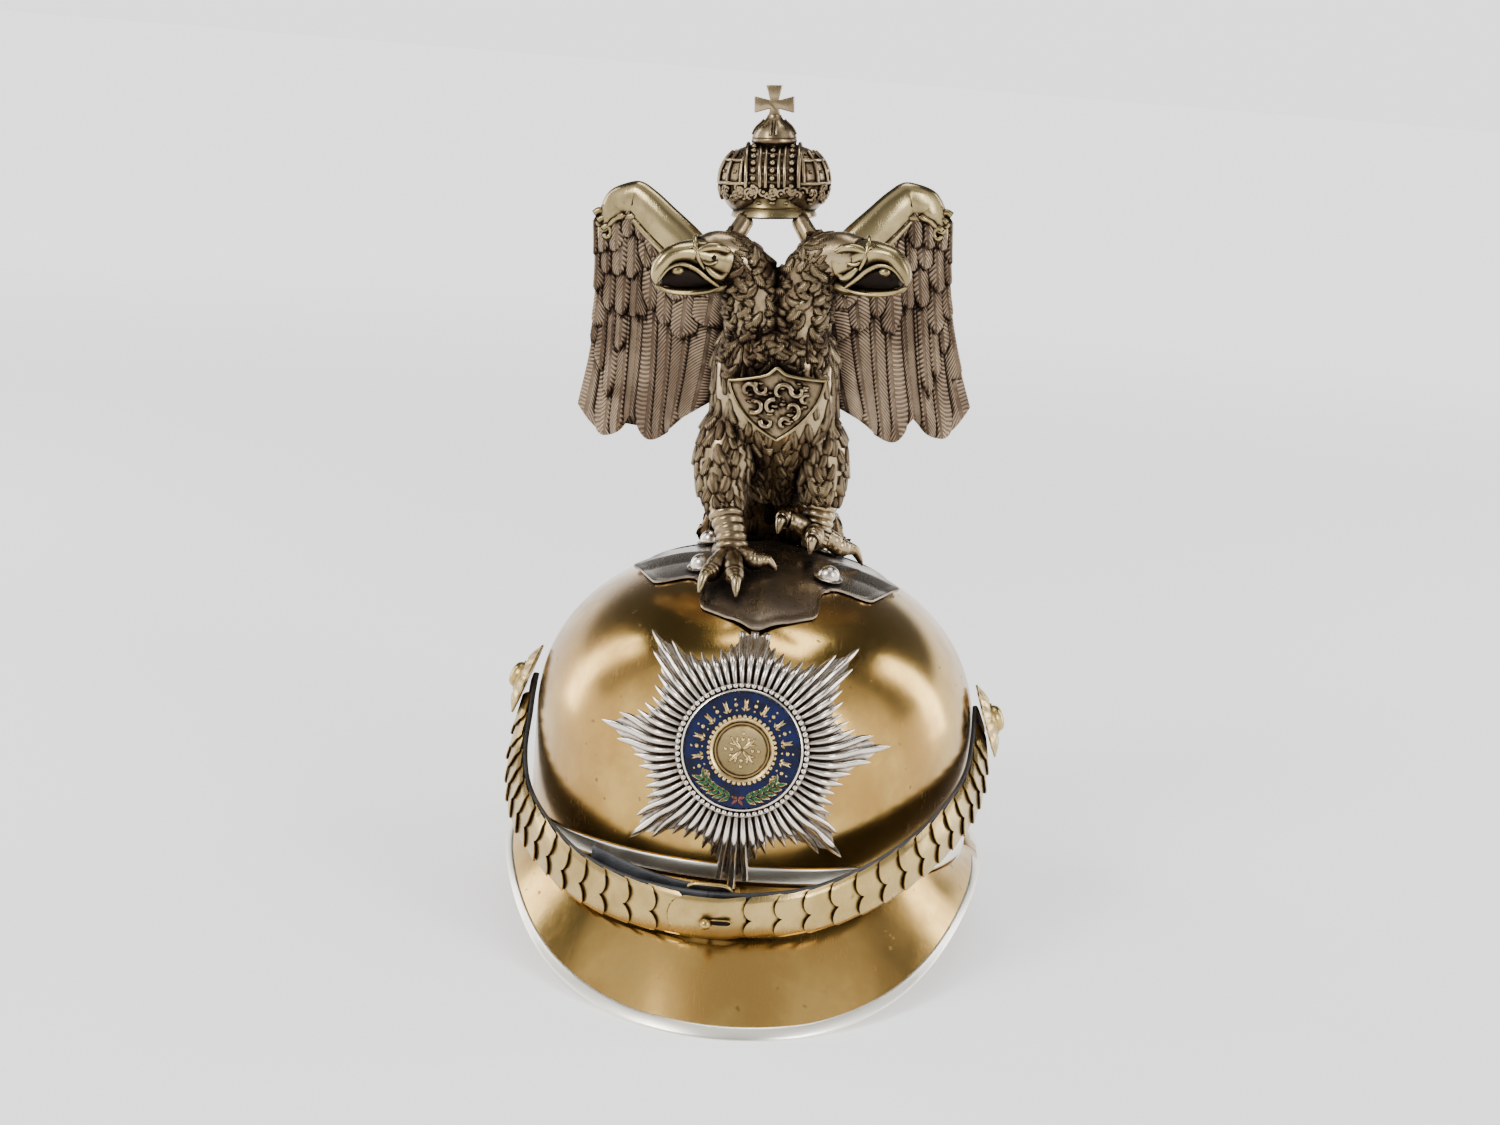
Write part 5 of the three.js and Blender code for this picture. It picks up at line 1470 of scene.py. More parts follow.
def make_beaks_and_claws():
    """Worn beaks, brows, eyes, tongues and claws, and painted shade in mouths and eye sockets"""
    gold = bmesh.new()
    dark = bmesh.new()
    for side in (-1, 1):
        at = head_points(side)
        loft(gold, head_rows(BEAK, side), 24, 36)
        loft(gold, head_rows(JAW, side), 18, 28)
        for points, thick in HEAD_RIDGES:
            ends = 0.45 * thick
            rod(gold, [at(*point) for point in points],
                lambda t: ends + (thick - ends) * math.sin(math.pi * t) ** 0.5, sides=10, steps=28)
        ball(gold, at(33.8, -30.2, 132.3), 1.5, (1, 0.8, 1), u=14, v=10)
        ball(gold, at(46.5, -35.2, 127.2), 2.4, (1.2, 0.9, 0.8), u=16, v=10)
        # Dark sheets and balls painting the shade inside the mouths, eye sockets and the rings over the beaks
        loft(dark, head_rows(MOUTH, side), 16, 18)
        ball(dark, at(33.6, -29.4, 132.2), 2.9, (1.25, 0.6, 0.75), u=16, v=10)
        ball(dark, at(40.4, -33.2, 135.6), 1.1, (0.8, 0.6, 1.3), u=10, v=8)
    for toe in TOES:
        rows = toe_rows(toe)
        loft(gold, [(*rows[3][:3], 2.85, 2.85)] + rows[4:], 14, 18)
    lean_all(gold)
    lean_all(dark)
    beaks = finish("eagle_beaks_and_claws", gold, WORN_GILT, crease=70)
    finish("eagle_mouth_shade", dark, SHADE_BLACK, crease=70)
    return beaks


def make_eagle():
    body = eagle_skin()
    plumage = make_plumage(body)
    lean_all(body)
    stand_on_plate(body)
    trunk = finish("eagle_body", body, SILVER, ["eagle"], crease=80)
    return [plumage, trunk, make_feet(), make_beaks_and_claws()]


# Chest shield

SHIELD_WIDTH = 41
SHIELD_HEIGHT = 29
# Curls of the shield's relief: x, z, size, first turn in radians
SHIELD_CURLS = [
    (-12, 77, 3.4, 0.4), (-6, 78, 3.6, 2.4), (2, 76, 4.6, 0.2), (9, 77, 3.4, 2.8), (12, 73, 2.6, 1.0),
    (-9, 71, 3.8, 4.1), (-2, 70, 3.6, 1.2), (6, 69, 4.2, 5.0), (-4, 64, 3.0, 3.0), (3, 63, 2.8, 0.6),
]
CURL_TURN = 4.2
SHIELD_GRAINS = 40


def shield_half(down):
    """Half width of the shield at a share down from its shoulders: a bowed side run to a point"""
    s = (1.2 - math.sqrt(max(0, 1.44 - 0.8 * down))) / 0.4
    return SHIELD_WIDTH / 2 * ((1 - s) ** 2 + 1.76 * s * (1 - s))


def on_shield(x, z, lift):
    """A place on the bowed field, lift in front of it"""
    bow = (x / SHIELD_WIDTH) ** 2 * 12
    field = Vector((SHIELD_X + x, -33.5 + bow + (z - SHIELD_TOP) / SHIELD_HEIGHT * 2, z))
    return field + Vector((0, -lift, 0))


def shield_face(lift):
    def shape(u, v):
        s = 2 * u - 1
        dip = -0.12 * SHIELD_HEIGHT * (1 - (1 - abs(s)) ** 1.5)
        crest = dip + 0.07 * SHIELD_HEIGHT * math.exp(-(s / 0.12) ** 2)
        z = SHIELD_TOP + mix(crest - 0.02 * SHIELD_HEIGHT, -SHIELD_HEIGHT, v)
        return on_shield(s * shield_half(v), z, lift)
    return shape


def make_shield():
    """A shield with a relief of curls and grains, and a raised edge"""
    bm = bmesh.new()
    for lift in (0.2, -6):
        sheet(bm, 28, 22, shield_face(lift))
    join_faces(bm)
    rng = random.Random(3)
    for x, z, size, turn in SHIELD_CURLS:
        points = []
        for step in range(8):
            t = step / 7
            angle = turn + t * CURL_TURN
            radius = size * (1 - 0.7 * t)
            aside, up = radius * math.cos(angle), radius * math.sin(angle)
            points.append(on_shield(x + aside, z + up, 1.0 + 0.6 * t))
        rod(bm, points, lambda t: 1.25 - 0.6 * t, sides=8, steps=18)
    for _ in range(SHIELD_GRAINS):
        x, z = rng.uniform(-13, 13), rng.uniform(60, 80)
        if abs(x) < shield_half(clamp((SHIELD_TOP - z) / SHIELD_HEIGHT)) - 3:
            ball(bm, on_shield(x, z, 0.5), rng.uniform(0.6, 1.5), (1.5, 0.9, 0.7), u=8, v=6)
    lean_all(bm)
    relief = finish("chest_shield_relief", bm, SILVER, ["chest_shield"], crease=50)

    bm = bmesh.new()
    rod(bm, [shield_face(0.9)(i / 24, 0) for i in range(25)], 0.75, sides=8, steps=80)
    for u in (0, 1):
        side_run = [shield_face(0.8)(u, v) for v in (0, 0.15, 0.3, 0.45, 0.6, 0.75, 0.88, 1.0)]
        rod(bm, side_run, 0.6, sides=8, steps=40)
    lean_all(bm)
    rim = finish("chest_shield_rim", bm, WORN_GILT, crease=50)
    return [relief, rim]


# Crown, orb and cross

CROWN_HALF = 23.7
LOBE_HALF = CROWN_HALF * 0.62
LOBE_DEEP = 17.5
LOBE_TALL = (CROWN_TOP - CROWN_BOTTOM) * 0.5
LOBE_MIDDLE = CROWN_TOP - LOBE_TALL - 0.5
ARCH_HALF = 11.4
ARCH_DEEP = 18.8
ARCH_TALL = CROWN_TOP - LOBE_MIDDLE + 0.6
ORB_BASE = CROWN_TOP + 0.9
# The band's section above the crown's foot: how far past its radius, height
CROWN_BAND = [
    (-3, 0), (1.2, 0), (1.8, 0.7), (1.3, 2.0), (0.4, 3.4), (0, 4.0), (0.5, 4.4), (0, 4.9),
    (0, 8.4), (0.6, 8.8), (1.0, 9.5), (0.4, 10.2), (-3, 10.6), (-3, 0),
]
# The orb's section and the ribs on it: radius, height
ORB = [
    (0, -2.6), (8.2, -2.6), (8.4, -0.6), (9.7, -0.2), (9.9, 0.8), (9.5, 1.6), (9.8, 2.0), (9.5, 2.6),
    (8.9, 4.2), (7.9, 5.8), (6.5, 7.2), (5.0, 8.6), (3.8, 9.8), (3.2, 10.8), (3.0, 11.5), (0, 11.5),
]
ORB_RIB = [(9.4, 3.2), (8.7, 4.9), (7.5, 6.6), (5.9, 8.1), (4.4, 9.5)]


def lobe_point(side, turn, rise, grow=0.0):
    """A place on a crown lobe: turn round the upright axis, rise above its middle, in radians"""
    return Vector((
        side * (CROWN_HALF - LOBE_HALF) + (LOBE_HALF + grow) * math.sin(turn) * math.cos(rise),
        CROWN_Y - (LOBE_DEEP + grow) * math.cos(turn) * math.cos(rise),
        LOBE_MIDDLE + (LOBE_TALL + grow) * math.sin(rise),
    ))


def arch_point(x, turn, grow=0.0):
    """A place on the arch that parts the lobes: turn from the front over the top, in radians"""
    return Vector((
        x,
        CROWN_Y - (ARCH_DEEP + grow) * math.cos(turn),
        LOBE_MIDDLE + (ARCH_TALL + grow) * math.sin(turn),
    ))


def on_crown_axis(x, y, z):
    return Vector((x, y + CROWN_Y, z))


def stud(bm, place, outward, wide, tall):
    """A four-sided pyramid standing on a crown lobe"""
    made = bmesh.ops.create_cone(
        bm, cap_ends=True, segments=4, radius1=wide, radius2=0.3, depth=tall)["verts"]
    square = Matrix.Rotation(math.pi / 4, 4, "Z")
    spin = outward.to_track_quat("Z", "Y").to_matrix().to_4x4() @ square
    bmesh.ops.transform(bm, matrix=Matrix.Translation(place) @ spin, verts=made)


def add_lobe(bm, side, rng):
    """A lobe with a lattice of bars, studs between them and a belt of scrolls below"""
    middle = Vector((side * (CROWN_HALF - LOBE_HALF), CROWN_Y, LOBE_MIDDLE))
    tube(bm, 40, 24, lambda u, v: lobe_point(side, math.tau * u, math.pi * (v - 0.5)))
    for k in range(12):
        turn = side * math.radians(17 + 26 * k)
        points = [lobe_point(side, turn, math.radians(rise), 0.4) for rise in range(0, 66, 11)]
        rod(bm, points, 0.85, sides=8, steps=18)
    for rise in (0, 37):
        turns = [side * math.radians(turn) for turn in range(8, 312, 16)]
        rod(bm, [lobe_point(side, turn, math.radians(rise), 0.4) for turn in turns], 0.85, sides=8, steps=72)
    for k in range(11):
        for rise, wide in ((18, 2.7), (50, 1.7)):
            turn = side * math.radians(30 + 26 * k)
            place = lobe_point(side, turn, math.radians(rise), -0.3)
            stud(bm, place, (place - middle).normalized(), wide, 2.6)
    for _ in range(44):
        turn = side * math.radians(rng.uniform(-10, 300))
        rise = math.radians(rng.uniform(-27, -6))
        curl = rng.uniform(0, math.tau)
        size = rng.uniform(0.1, 0.16)
        points = []
        for step in range(5):
            reach = size * (1 - 0.08 * step)
            aside, up = reach * math.cos(curl + step), reach * math.sin(curl + step)
            points.append(lobe_point(side, turn + aside, rise + up, 0.5))
        rod(bm, points, 0.75, sides=6, steps=10)
        ball(bm, lobe_point(side, turn, rise, 0.3), 1.0, u=8, v=6)


def arch_body(u, v):
    turn = math.radians(mix(-20, 200, v))
    round_turn = math.tau * u
    x = ARCH_HALF * squared(math.cos(round_turn), 0.5)
    return arch_point(x, turn, 2.0 * squared(math.sin(round_turn), 0.5) - 2.4)


def add_arch(bm, rng):
    """The arch between the lobes: six ridges, three rows of beads and scrolls at both feet"""
    tube(bm, 20, 60, arch_body)
    for x in (-11.2, -5.3, -2.8, 2.8, 5.3, 11.2):
        ridge = [arch_point(x, math.radians(turn), -0.3) for turn in range(-6, 190, 14)]
        rod(bm, ridge, 0.8, sides=8, steps=64)
    for x in (-8.2, 0, 8.2):
        for step in range(17):
            ball(bm, arch_point(x, math.radians(mix(-4, 184, step / 16)), -0.2), 1.3, u=10, v=6)
    for k in range(30):
        turn = math.radians(rng.uniform(-19, -9))
        if k % 2:
            turn = math.pi - turn
        x = rng.uniform(-10.5, 10.5)
        curl = rng.uniform(0, math.tau)
        points = []
        for step in range(5):
            aside, up = 1.7 * math.cos(curl + step), 0.1 * math.sin(curl + step)
            points.append(arch_point(x + aside, turn + up, 0.1))
        rod(bm, points, 0.7, sides=6, steps=10)
        ball(bm, arch_point(x, turn, -0.1), 1.0, u=8, v=6)


def make_crown_body():
    bm = bmesh.new()
    rng = random.Random(11)
    for side in (-1, 1):
        add_lobe(bm, side, rng)
    add_arch(bm, rng)
    return finish_crown(bm, "crown_lobes", SILVER, ["crown"])


def make_crown_band(jewels=18):
    """The turned band under the lobes with a row of small jewels"""
    bm = bmesh.new()
    profile = [(CROWN_BAND_RADIUS + out, CROWN_BOTTOM + height) for out, height in CROWN_BAND]
    turned(bm, profile, 72, on_crown_axis)
    for k in range(jewels):
        made = ball(bm, (0, -CROWN_BAND_RADIUS, 0), 1.0, (1.5, 0.7, 0.85), u=8, v=6)
        spin = Matrix.Rotation(math.tau * k / jewels, 4, "Z")
        spin = Matrix.Translation((0, CROWN_Y, CROWN_BOTTOM + 6.7)) @ spin
        bmesh.ops.transform(bm, matrix=spin, verts=made)
    return finish_crown(bm, "crown_band", WORN_GILT)


def add_cross(bm):
    """A flat cross with four widening arms, its edges rounded"""
    bit = bmesh.new()
    corners = []
    for arm in range(4):
        spin = Matrix.Rotation(arm * math.pi / 2, 2)
        far = 8.6 if arm % 2 else 8.2
        for across, along in ((1.8, 1.8), (2.2, 3.4), (3.6, far), (-3.6, far), (-2.2, 3.4)):
            corner = spin @ Vector((across, along))
            corners.append(bit.verts.new((corner.x, 0, corner.y)))
    bit.faces.new(corners)
    grown = bmesh.ops.extrude_face_region(bit, geom=bit.faces[:])["geom"]
    back = [part for part in grown if isinstance(part, bmesh.types.BMVert)]
    bmesh.ops.translate(bit, vec=(0, 3.4, 0), verts=back)
    bmesh.ops.translate(bit, vec=(0, CROWN_Y - 1.7, ORB_BASE + 15.9), verts=bit.verts)
    bmesh.ops.recalc_face_normals(bit, faces=bit.faces)
    bmesh.ops.bevel(bit, geom=bit.edges[:], offset=0.5, segments=2, profile=0.5, affect="EDGES", material=-1)
    pour(bit, bm)


def make_orb_and_cross():
    bm = bmesh.new()
    turned(bm, [(radius, ORB_BASE + height) for radius, height in ORB], 48, on_crown_axis)
    for quarter in range(4):
        spin = Matrix.Rotation(quarter * math.pi / 2, 3, "Z")
        for aside in (-1.2, 1.2):
            points = []
            for radius, height in ORB_RIB:
                points.append(spin @ Vector((aside, -radius, 0)) + Vector((0, CROWN_Y, ORB_BASE + height)))
            rod(bm, points, 0.5, sides=6, steps=12)
    add_cross(bm)
    return finish_crown(bm, "crown_orb_and_cross", SILVER, ["crown_orb"])


def finish_crown(bm, name, material, nodes=()):
    bmesh.ops.translate(bm, vec=(CROWN_X, 0, 0), verts=bm.verts)
    lean_all(bm)
    return finish(name, bm, material, nodes, crease=45)


def make_crown():
    return [make_crown_body(), make_crown_band(), make_orb_and_cross()]


# Chin chain

def chain_place(turn, height, inset):
    turn = math.radians(turn)
    return (CHAIN_HALF_WIDTH - inset) * math.sin(turn), -(CHAIN_FRONT - inset) * math.cos(turn), height


CHAIN = Route([chain_place(*row[:3]) for row in CHAIN_ROUTE])
CHAIN_SAMPLES = 600
# The distance along the route at each sample
CHAIN_MARKS = [0.0]
for sample in range(1, CHAIN_SAMPLES + 1):
    stretch = (CHAIN.at(sample / CHAIN_SAMPLES) - CHAIN.at((sample - 1) / CHAIN_SAMPLES)).length
    CHAIN_MARKS.append(CHAIN_MARKS[-1] + stretch)
CHAIN_LENGTH = CHAIN_MARKS[-1]


def chain_share(distance):
    """The route's own measure at a distance along it"""
    at = clamp(distance, 0, CHAIN_LENGTH)
    low, high = 0, CHAIN_SAMPLES
    while high - low > 1:
        middle = (low + high) // 2
        if CHAIN_MARKS[middle] > at:
            high = middle
        else:
            low = middle
    return (low + (at - CHAIN_MARKS[low]) / max(1e-9, CHAIN_MARKS[high] - CHAIN_MARKS[low])) / CHAIN_SAMPLES


def chain_turn(point):
    """The turn round the helmet of a place on the chain, from the front"""
    return math.atan2(point.x / CHAIN_HALF_WIDTH, -point.y / CHAIN_FRONT)


def on_chain(distance, across, lift):
    """A place on the chain: along it, across its width and out from its leather"""
    share = chain_share(distance)
    point = CHAIN.at(share)
    run = CHAIN.along(share)
    turn = chain_turn(point)
    tilt = math.radians(eased_table(CHAIN_ROUTE, math.degrees(turn), 3))
    level = Vector((math.sin(turn) * CHAIN_FRONT, -math.cos(turn) * CHAIN_HALF_WIDTH, 0)).normalized()
    face = level * math.cos(tilt)
    face.z = math.sin(tilt)
    face = (face - run * face.dot(run)).normalized()
    width = face.cross(run)
    return point + width * across + face * lift


def clasp_distance():
    """The last half millimetre along the chain before the clasp's turn"""
    at = 0.0
    while math.degrees(chain_turn(CHAIN.at(chain_share(at + 0.5)))) < CLASP_TURN:
        at += 0.5
    return at


CLASP_TURN = -4
CLASP_AT = clasp_distance()
CLASP_LIFT = 0.3 + SCALE_THICK * 2 + 1.05
CLASP_TOP = CLASP_LIFT + SCALE_ARCH + SCALE_THICK + 0.05
SLOT_SHIFT = 5.0


def arch_lift(across):
    """Height of a scale's arched back over its edges"""
    return SCALE_ARCH * (1 - (2 * across / SCALE_WIDTH) ** 2)


def make_scales():
    """Overlapping scales from both rosettes to the clasp, each with a two-lobed free end"""
    pieces = []
    half = CLASP_LENGTH / 2
    ends = (("left", 9, CLASP_AT - half * 0.55, 1), ("right", CHAIN_LENGTH - 9, CLASP_AT + half * 0.95, -1))
    for name, start, stop, way in ends:
        pitch = abs(stop - start) / (SCALE_COUNT + SCALE_OVERLAP - 1)
        slope = (SCALE_THICK + 0.45) / pitch
        for i in range(SCALE_COUNT):
            begin = start + way * pitch * i
            wobble = random.Random(i + (50 if way > 0 else 0)).uniform(-0.25, 0.25)

            def shape(u, v):
                s = 2 * u - 1
                offset = s * SCALE_WIDTH / 2
                lobe = abs(math.sin(2 * math.pi * u)) if 0.02 < u < 0.98 else 0
                run = v * (pitch * SCALE_OVERLAP - SCALE_NOTCH * (1 - lobe ** 0.62))
                free = smooth(v, 0.55, 1.0)
                lift = 0.3 + arch_lift(offset) + slope * run + 0.25 * free * lobe + wobble * free * s
                edge = 0.9 * smooth(abs(s), 0.82, 1.0)
                return on_chain(begin + way * run, offset, lift - edge)

            bm = bmesh.new()
            sheet(bm, 24, 12, shape)
            bmesh.ops.recalc_face_normals(bm, faces=bm.faces)
            bmesh.ops.solidify(bm, geom=bm.faces, thickness=SCALE_THICK)
            label = f"scale_{name}_{i + 1:02d}"
            pieces.append(finish(f"{label}_plate", bm, SCALE_BRASS, [label], crease=50))
    return pieces


def clasp_sheet(u, v):
    """The end plate: round at its free end, tucked under the first scale at the other"""
    s = 2 * u - 1
    offset = s * SCALE_WIDTH / 2
    rounding = math.sqrt(max(0, 1 - (s * 0.995) ** 2 * 0.98))
    start = CLASP_AT - CLASP_LENGTH / 2 + SCALE_WIDTH * 0.4 * (1 - rounding)
    tuck = 1.8 * smooth(v, 0.6, 1)
    edge = 0.5 * smooth(abs(s), 0.85, 1.0)
    run = mix(start, CLASP_AT + CLASP_LENGTH / 2, v)
    return on_chain(run, offset, arch_lift(offset) + CLASP_LIFT - tuck - edge)


# A black sheet in the keyhole slot: painted shade where the slot opens
def slot_shade_sheet(u, v):
    turn = math.tau * u
    run = CLASP_AT + SLOT_SHIFT + 4.5 * v * math.cos(turn)
    return on_chain(run, 1.3 * v * math.sin(turn), CLASP_TOP + 0.04)


# The clasp's stud: radius, height from the leather
STUD_PROFILE = [
    (0, 0), (1.15, 0), (1.15, CLASP_TOP - 0.2), (2.0, CLASP_TOP + 0.2), (2.25, CLASP_TOP + 1.2),
    (1.9, CLASP_TOP + 2.4), (1.1, CLASP_TOP + 3.2), (0, CLASP_TOP + 3.5),
]


def make_clasp():
    """End plate with a keyhole slot and the ball stud that stands in it"""
    bm = bmesh.new()
    sheet(bm, 24, 24, clasp_sheet)
    end_plate = finish(
        "clasp_end_plate", bm, SCALE_BRASS, ["clasp_plate"], crease=50, thick=SCALE_THICK)

    bm = bmesh.new()
    ring = []
    for i in range(17):
        turn = math.tau * i / 16
        wide = 1.3 + 0.55 * smooth(math.cos(turn), 0.2, 1.0)
        run = CLASP_AT + SLOT_SHIFT + 4.6 * math.cos(turn)
        ring.append(on_chain(run, wide * math.sin(turn), CLASP_TOP + 0.05))
    rod(bm, ring, 0.34, sides=6, steps=48)
    slot_edge = finish("clasp_slot_edge", bm, SCALE_BRASS, crease=60)

    # Painted shade in the slot
    bm = bmesh.new()
    sheet(bm, 24, 3, slot_shade_sheet)
    finish("clasp_slot", bm, SHADE_BLACK, crease=60)

    bm = bmesh.new()
    turned(bm, STUD_PROFILE, 20, lambda x, y, z: on_chain(CLASP_AT + x, y, z + 0.3))
    ball_stud = finish("clasp_stud_ball", bm, SCALE_BRASS, ["clasp_stud"], crease=60)
    return [end_plate, slot_edge, ball_stud]


LEATHER_WIDTH = 20
LEATHER_THICK = 2.2
STITCHES = 62
STITCH_ROW = 7.4
STITCH_HALF = 0.75


def make_leather():
    """Backing straps with a padded outer edge and a row of stitches along both edges inside"""
    for name, start, stop in (("left", 0, CLASP_AT - 0.15), ("right", CLASP_AT + 0.15, CHAIN_LENGTH)):
        def shape(u, v):
            turn = math.tau * u
            across = squared(math.cos(turn), 0.4) * LEATHER_WIDTH / 2
            rise = math.sin(turn)
            lift = -LEATHER_THICK / 2 + squared(rise, 0.6) * LEATHER_THICK / 2
            edge = abs(across) / (LEATHER_WIDTH / 2)
            if rise < 0:
                welt = 0.7 * math.exp(-((edge - 0.93) / 0.08) ** 2)
                lift -= welt - 0.35 * math.exp(-((edge - 0.74) / 0.05) ** 2)
            return on_chain(mix(start, stop, v), across, lift)

        bm = bmesh.new()
        tube(bm, 40, 110, shape)
        for side in (-1, 1):
            for k in range(STITCHES):
                at = mix(start, stop, (k + 0.5) / STITCHES)
                steps = (-STITCH_HALF, 0, STITCH_HALF)
                run = [on_chain(at + step, side * STITCH_ROW, -LEATHER_THICK - 0.05) for step in steps]
                rod(bm, run, 0.24, sides=5, steps=3)
        finish(f"chain_leather_{name}_strap", bm, LEATHER, [f"chain_leather_{name}"], crease=60)


TONGUE_WIDTH = 12.5
TONGUE_DEPTH = -6.5
TONGUE_LEFT = 62
TONGUE_RIGHT = 8
BUCKLE_ACROSS = 5
BUCKLE_HALF_LONG = 9.2
BUCKLE_HALF_HIGH = 6.8


def tongue_shape(u, v):
    """The adjusting strap behind the chain, thick where it is folded at its left end"""
    turn = math.tau * u
    across = squared(math.cos(turn), 0.4) * TONGUE_WIDTH / 2 + mix(7.5, 4, smooth(v, 0.0, 0.8))
    swell = 2.2 * math.exp(-((v - 0.04) / 0.06) ** 2)
    lift = TONGUE_DEPTH + squared(math.sin(turn), 0.6) * (1.05 + swell * 0.5)
    wave = 0.6 * math.sin(v * 9)
    run = mix(CLASP_AT - TONGUE_LEFT, CLASP_AT + TONGUE_RIGHT, v)
    return on_chain(run, across, lift + wave * 0.4)


def make_tongue():
    bm = bmesh.new()
    tube(bm, 28, 60, tongue_shape)
    finish("strap_tongue_fold", bm, LEATHER, ["strap_tongue"], crease=60)


def make_buckle():
    """A wire frame with rounded corners and a pin across it"""
    bm = bmesh.new()
    points = []
    for i in range(33):
        turn = math.tau * i / 32
        x = squared(math.cos(turn), 0.45) * BUCKLE_HALF_LONG
        y = squared(math.sin(turn), 0.45) * BUCKLE_HALF_HIGH
        points.append(on_chain(CLASP_AT + x, y + BUCKLE_ACROSS, -3.6))
    rod(bm, points, 0.85, sides=8, steps=96)
    pin_run = ((1 - BUCKLE_HALF_LONG, -3.2), (0, -2.7), (BUCKLE_HALF_LONG, -3.0))
    rod(bm, [on_chain(CLASP_AT + x, BUCKLE_ACROSS, lift) for x, lift in pin_run], 0.6, sides=8)
    return finish("buckle_wire", bm, SCALE_BRASS, ["buckle"], crease=60)


# A rosette from its middle's back over its petals to its knob: radius, height
ROSETTE_PROFILE = [
    (0, 0), (8, 0), (12, 0), (15.5, 0), (17, 0), (17, 0.8), (15.5, 1.1), (13.5, 1.7), (11.5, 2.5), (9.5, 3.2),
    (7.6, 3.6), (7.0, 4.6), (6.2, 4.4), (5.9, 5.6), (5.2, 7.0), (3.8, 7.9), (2, 8.3), (0, 8.4),
]
ROSETTE_X, ROSETTE_Y, ROSETTE_Z = 102.7, -5, 92
ROSETTE_LEAN = math.pi / 2 - math.radians(20)


def make_rosette(name, side):
    """A turned boss with twelve petals pressed into it"""
    def place(x, y, z):
        radius = math.hypot(x, y)
        petals = abs(math.cos(math.atan2(y, x) * 6))
        scallop = mix(0.9, 1, petals) if radius > 15 else 1
        ridge = 0.9 * petals * smooth(radius, 6, 10) * (1 - smooth(radius, 13, 17))
        point = Vector((x * scallop, y * scallop, z + ridge))
        point = Matrix.Rotation(ROSETTE_LEAN, 3, "Y") @ point
        return Vector(((point.x + ROSETTE_X) * side, point.y + ROSETTE_Y, point.z + ROSETTE_Z))

    bm = bmesh.new()
    turned(bm, ROSETTE_PROFILE, 96, place)
    return finish(f"rosette_{name}_petals", bm, SCALE_BRASS, [f"rosette_{name}"], crease=50)


# Painted shade and tarnish: each corner keeps the share of its surroundings that other metal closes off

# Turn between one ray and the next that spreads them evenly
EVEN_TURN = 2.399963
EAGLE_REACH = 0.011
STAR_REACH = 0.005
CHAIN_REACH = 0.006


def gather_shade_and_tarnish(pieces, reach, rays=11):
    """Rays of a reach in metres leave each corner; near metal closes it off most"""
    corners, faces = [], []
    for piece in pieces:
        base = len(corners)
        corners.extend(vert.co for vert in piece.data.vertices)
        faces.extend([base + index for index in polygon.vertices] for polygon in piece.data.polygons)
    tree = BVHTree.FromPolygons(corners, faces)
    spread = []
    for k in range(rays):
        z = 1 - (k + 0.5) / rays * 0.85
        turn = k * EVEN_TURN
        flat = math.sqrt(1 - z * z)
        spread.append(Vector((flat * math.cos(turn), flat * math.sin(turn), z)))
    for piece in pieces:
        mesh = piece.data
        values = []
        for vert in mesh.vertices:
            turn = vert.normal.to_track_quat("Z", "Y")
            start = vert.co + vert.normal * 0.00025
            closed = 0.0
            for way in spread:
                found = tree.ray_cast(start, turn @ way, reach)
                if found[0] is not None:
                    closed += 1 - 0.6 * found[3] / reach
            values.append(min(1.0, 1.25 * closed / rays))
        # The share kept darkens the metal's colour: patina and painted shade in one
        attribute = mesh.attributes.new("hollow", "FLOAT", "POINT")
        attribute.data.foreach_set("value", values)


make_skull()
make_brims()
make_brow_band()
star = make_star() + make_star_middle()
plate = make_plate()
eagle = make_eagle()
wings = make_wing(-1, "wing_left") + make_wing(1, "wing_right")
shield = make_shield()
crown = make_crown()
chain = make_scales() + make_clasp()
chain += [make_rosette("left", -1), make_rosette("right", 1)]
make_tongue()
chain.append(make_buckle())
make_leather()
gather_shade_and_tarnish(eagle + wings + shield + crown + plate, EAGLE_REACH)
gather_shade_and_tarnish(star, STAR_REACH)
gather_shade_and_tarnish(chain, CHAIN_REACH)


# Camera, floor and light

PHOTO_WIDTH = 1500
FOCAL_PIXELS = 2304.5
CAMERA_PLACE = Vector((33.4, -999.5, 372.2))
CAMERA_YAW = 2.36
CAMERA_PITCH = 12.34
CAMERA_ROLL = 4.64


def aim(yaw, pitch, roll):
    """The camera's turn from its yaw, pitch down and roll, in degrees"""
    yaw, pitch, roll = (math.radians(angle) for angle in (yaw, pitch, roll))
    c, s = math.cos(yaw), math.sin(yaw)
    ahead = Vector((-s * math.cos(pitch), c * math.cos(pitch), -math.sin(pitch)))
    up = Vector((-s * math.sin(pitch), c * math.sin(pitch), math.cos(pitch)))
    right = Vector((c, s, 0))
    tilted_right = right * math.cos(roll) + up * math.sin(roll)
    tilted_up = up * math.cos(roll) - right * math.sin(roll)
    return Matrix((tilted_right, tilted_up, -ahead)).transposed()


def place_camera():
    camera_data = bpy.data.cameras.new("camera")
    camera_data.sensor_width = 36
    camera_data.lens = 36 * FOCAL_PIXELS / PHOTO_WIDTH
    camera = bpy.data.objects.new("camera", camera_data)
    bpy.context.collection.objects.link(camera)
    stand = Matrix.Translation((CAMERA_PLACE + SHIFT) * MM)
    camera.matrix_world = stand @ aim(CAMERA_YAW, CAMERA_PITCH, CAMERA_ROLL).to_4x4()
    bpy.context.scene.camera = camera


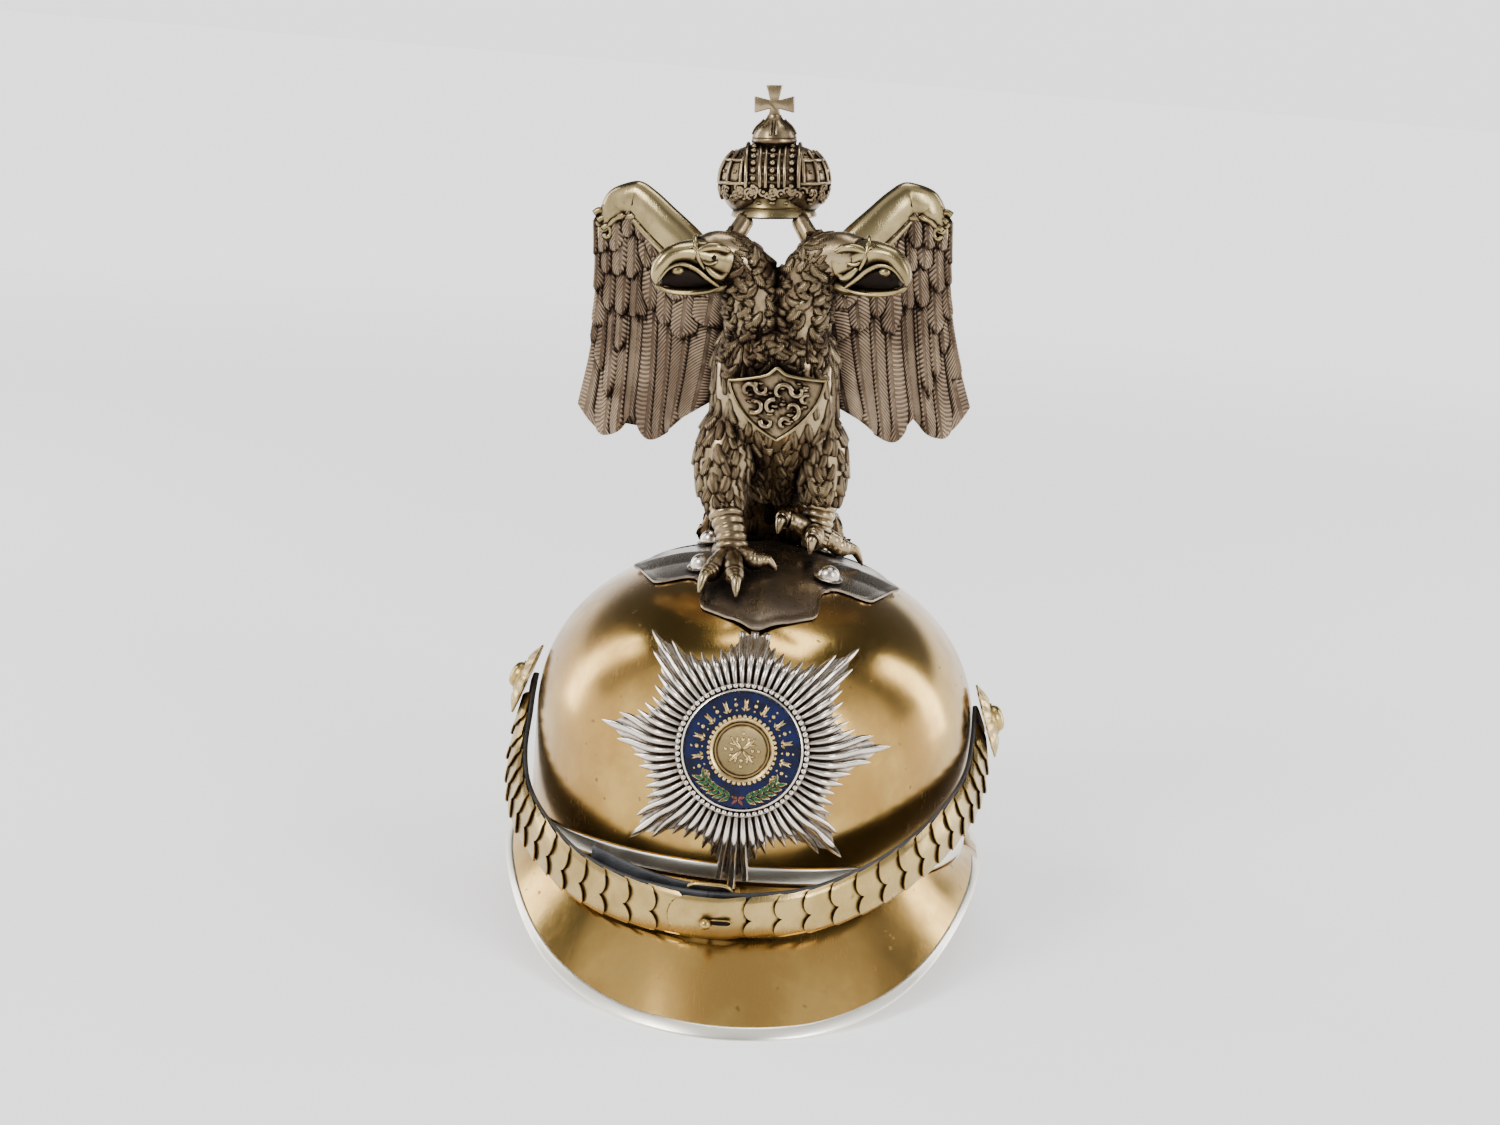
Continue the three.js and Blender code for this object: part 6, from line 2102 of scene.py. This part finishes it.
def make_floor():
    """A pale floor that glows with painted light, weaker near the helmet and brighter away from it"""
    bm = bmesh.new()
    bmesh.ops.create_grid(bm, x_segments=1, y_segments=1, size=60)
    mesh = bpy.data.meshes.new("floor")
    bm.to_mesh(mesh)
    bm.free()
    floor = bpy.data.objects.new("floor", mesh)
    bpy.context.collection.objects.link(floor)
    material, w, shader, place = new_material("glowing_pale_floor")
    shader.inputs["Base Color"].default_value = (0.86, 0.86, 0.86, 1)
    shader.inputs["Roughness"].default_value = 0.7
    away = w.add("ShaderNodeVectorMath", operation="LENGTH")
    w.feed(away.inputs[0], place)
    # Painted light: the floor glows, weaker near the helmet and stronger far from it
    w.feed(shader.inputs["Emission Strength"], w.step(away.outputs["Value"], 0.3, 3.0, 0.6, 1.6))
    shader.inputs["Emission Color"].default_value = (1, 1, 1, 1)
    mesh.materials.append(material)
    return floor


# Soft lights: name, place and target in metres, size, power, colour
SOFTBOXES = [
    ("key", (-1.0, -1.1, 1.35), (0, 0, 0.15), (0.5, 0.7), 22, (1, 0.99, 0.97)),
    ("fill", (1.2, -1.0, 0.9), (0, 0, 0.15), (0.35, 0.8), 12, (0.98, 0.99, 1)),
    ("top", (0.1, 0.5, 1.9), (0, 0, 0.1), (1.0, 0.6), 12, (1, 1, 1)),
    ("left_strip", (-1.2, 0.5, 0.6), (0, 0, 0.2), (0.3, 1.2), 8, (1, 1, 1)),
    ("right_strip", (1.2, 0.6, 0.6), (0, 0, 0.2), (0.3, 1.2), 8, (1, 1, 1)),
]


def make_softbox(name, place, target, size, power, colour):
    light = bpy.data.lights.new(name, "AREA")
    light.shape = "RECTANGLE"
    light.size, light.size_y = size
    light.energy = power
    light.color = colour
    lamp = bpy.data.objects.new(name, light)
    bpy.context.collection.objects.link(lamp)
    lamp.location = place
    lamp.rotation_euler = (Vector(target) - Vector(place)).to_track_quat("-Z", "Y").to_euler()


def make_world():
    """A white room, darker overhead, high behind the helmet and behind the camera"""
    world = bpy.data.worlds.new("studio")
    bpy.context.scene.world = world
    world.use_nodes = True
    w = Wiring(world.node_tree)
    background = world.node_tree.nodes["Background"]
    split = w.add("ShaderNodeSeparateXYZ")
    w.feed(split.inputs[0], w.add("ShaderNodeTexCoord").outputs["Generated"])
    right, back, up = split.outputs
    high_behind = w.math("MULTIPLY", w.step(back, -0.05, 0.15), w.step(up, 0.16, 0.34))
    front = w.step(back, -0.7, -0.2, 1.0, 0.0)
    aside = w.step(w.math("ABSOLUTE", right), 0.5, 0.85)
    behind_camera = w.math("MULTIPLY", front, w.math("SUBTRACT", 1.0, aside))
    level = w.step(high_behind, 0.0, 1.0, 1.0, 0.07)
    level = w.math("MULTIPLY", level, w.step(behind_camera, 0.0, 1.0, 1.0, 0.3))
    level = w.math("MULTIPLY", level, w.step(up, 0.3, 0.8, 1.0, 0.45))
    w.feed(background.inputs["Strength"], w.math("MULTIPLY", level, 2.0))
    background.inputs["Color"].default_value = (1, 1, 1, 1)


place_camera()
floor = make_floor()
for softbox in SOFTBOXES:
    make_softbox(*softbox)
make_world()
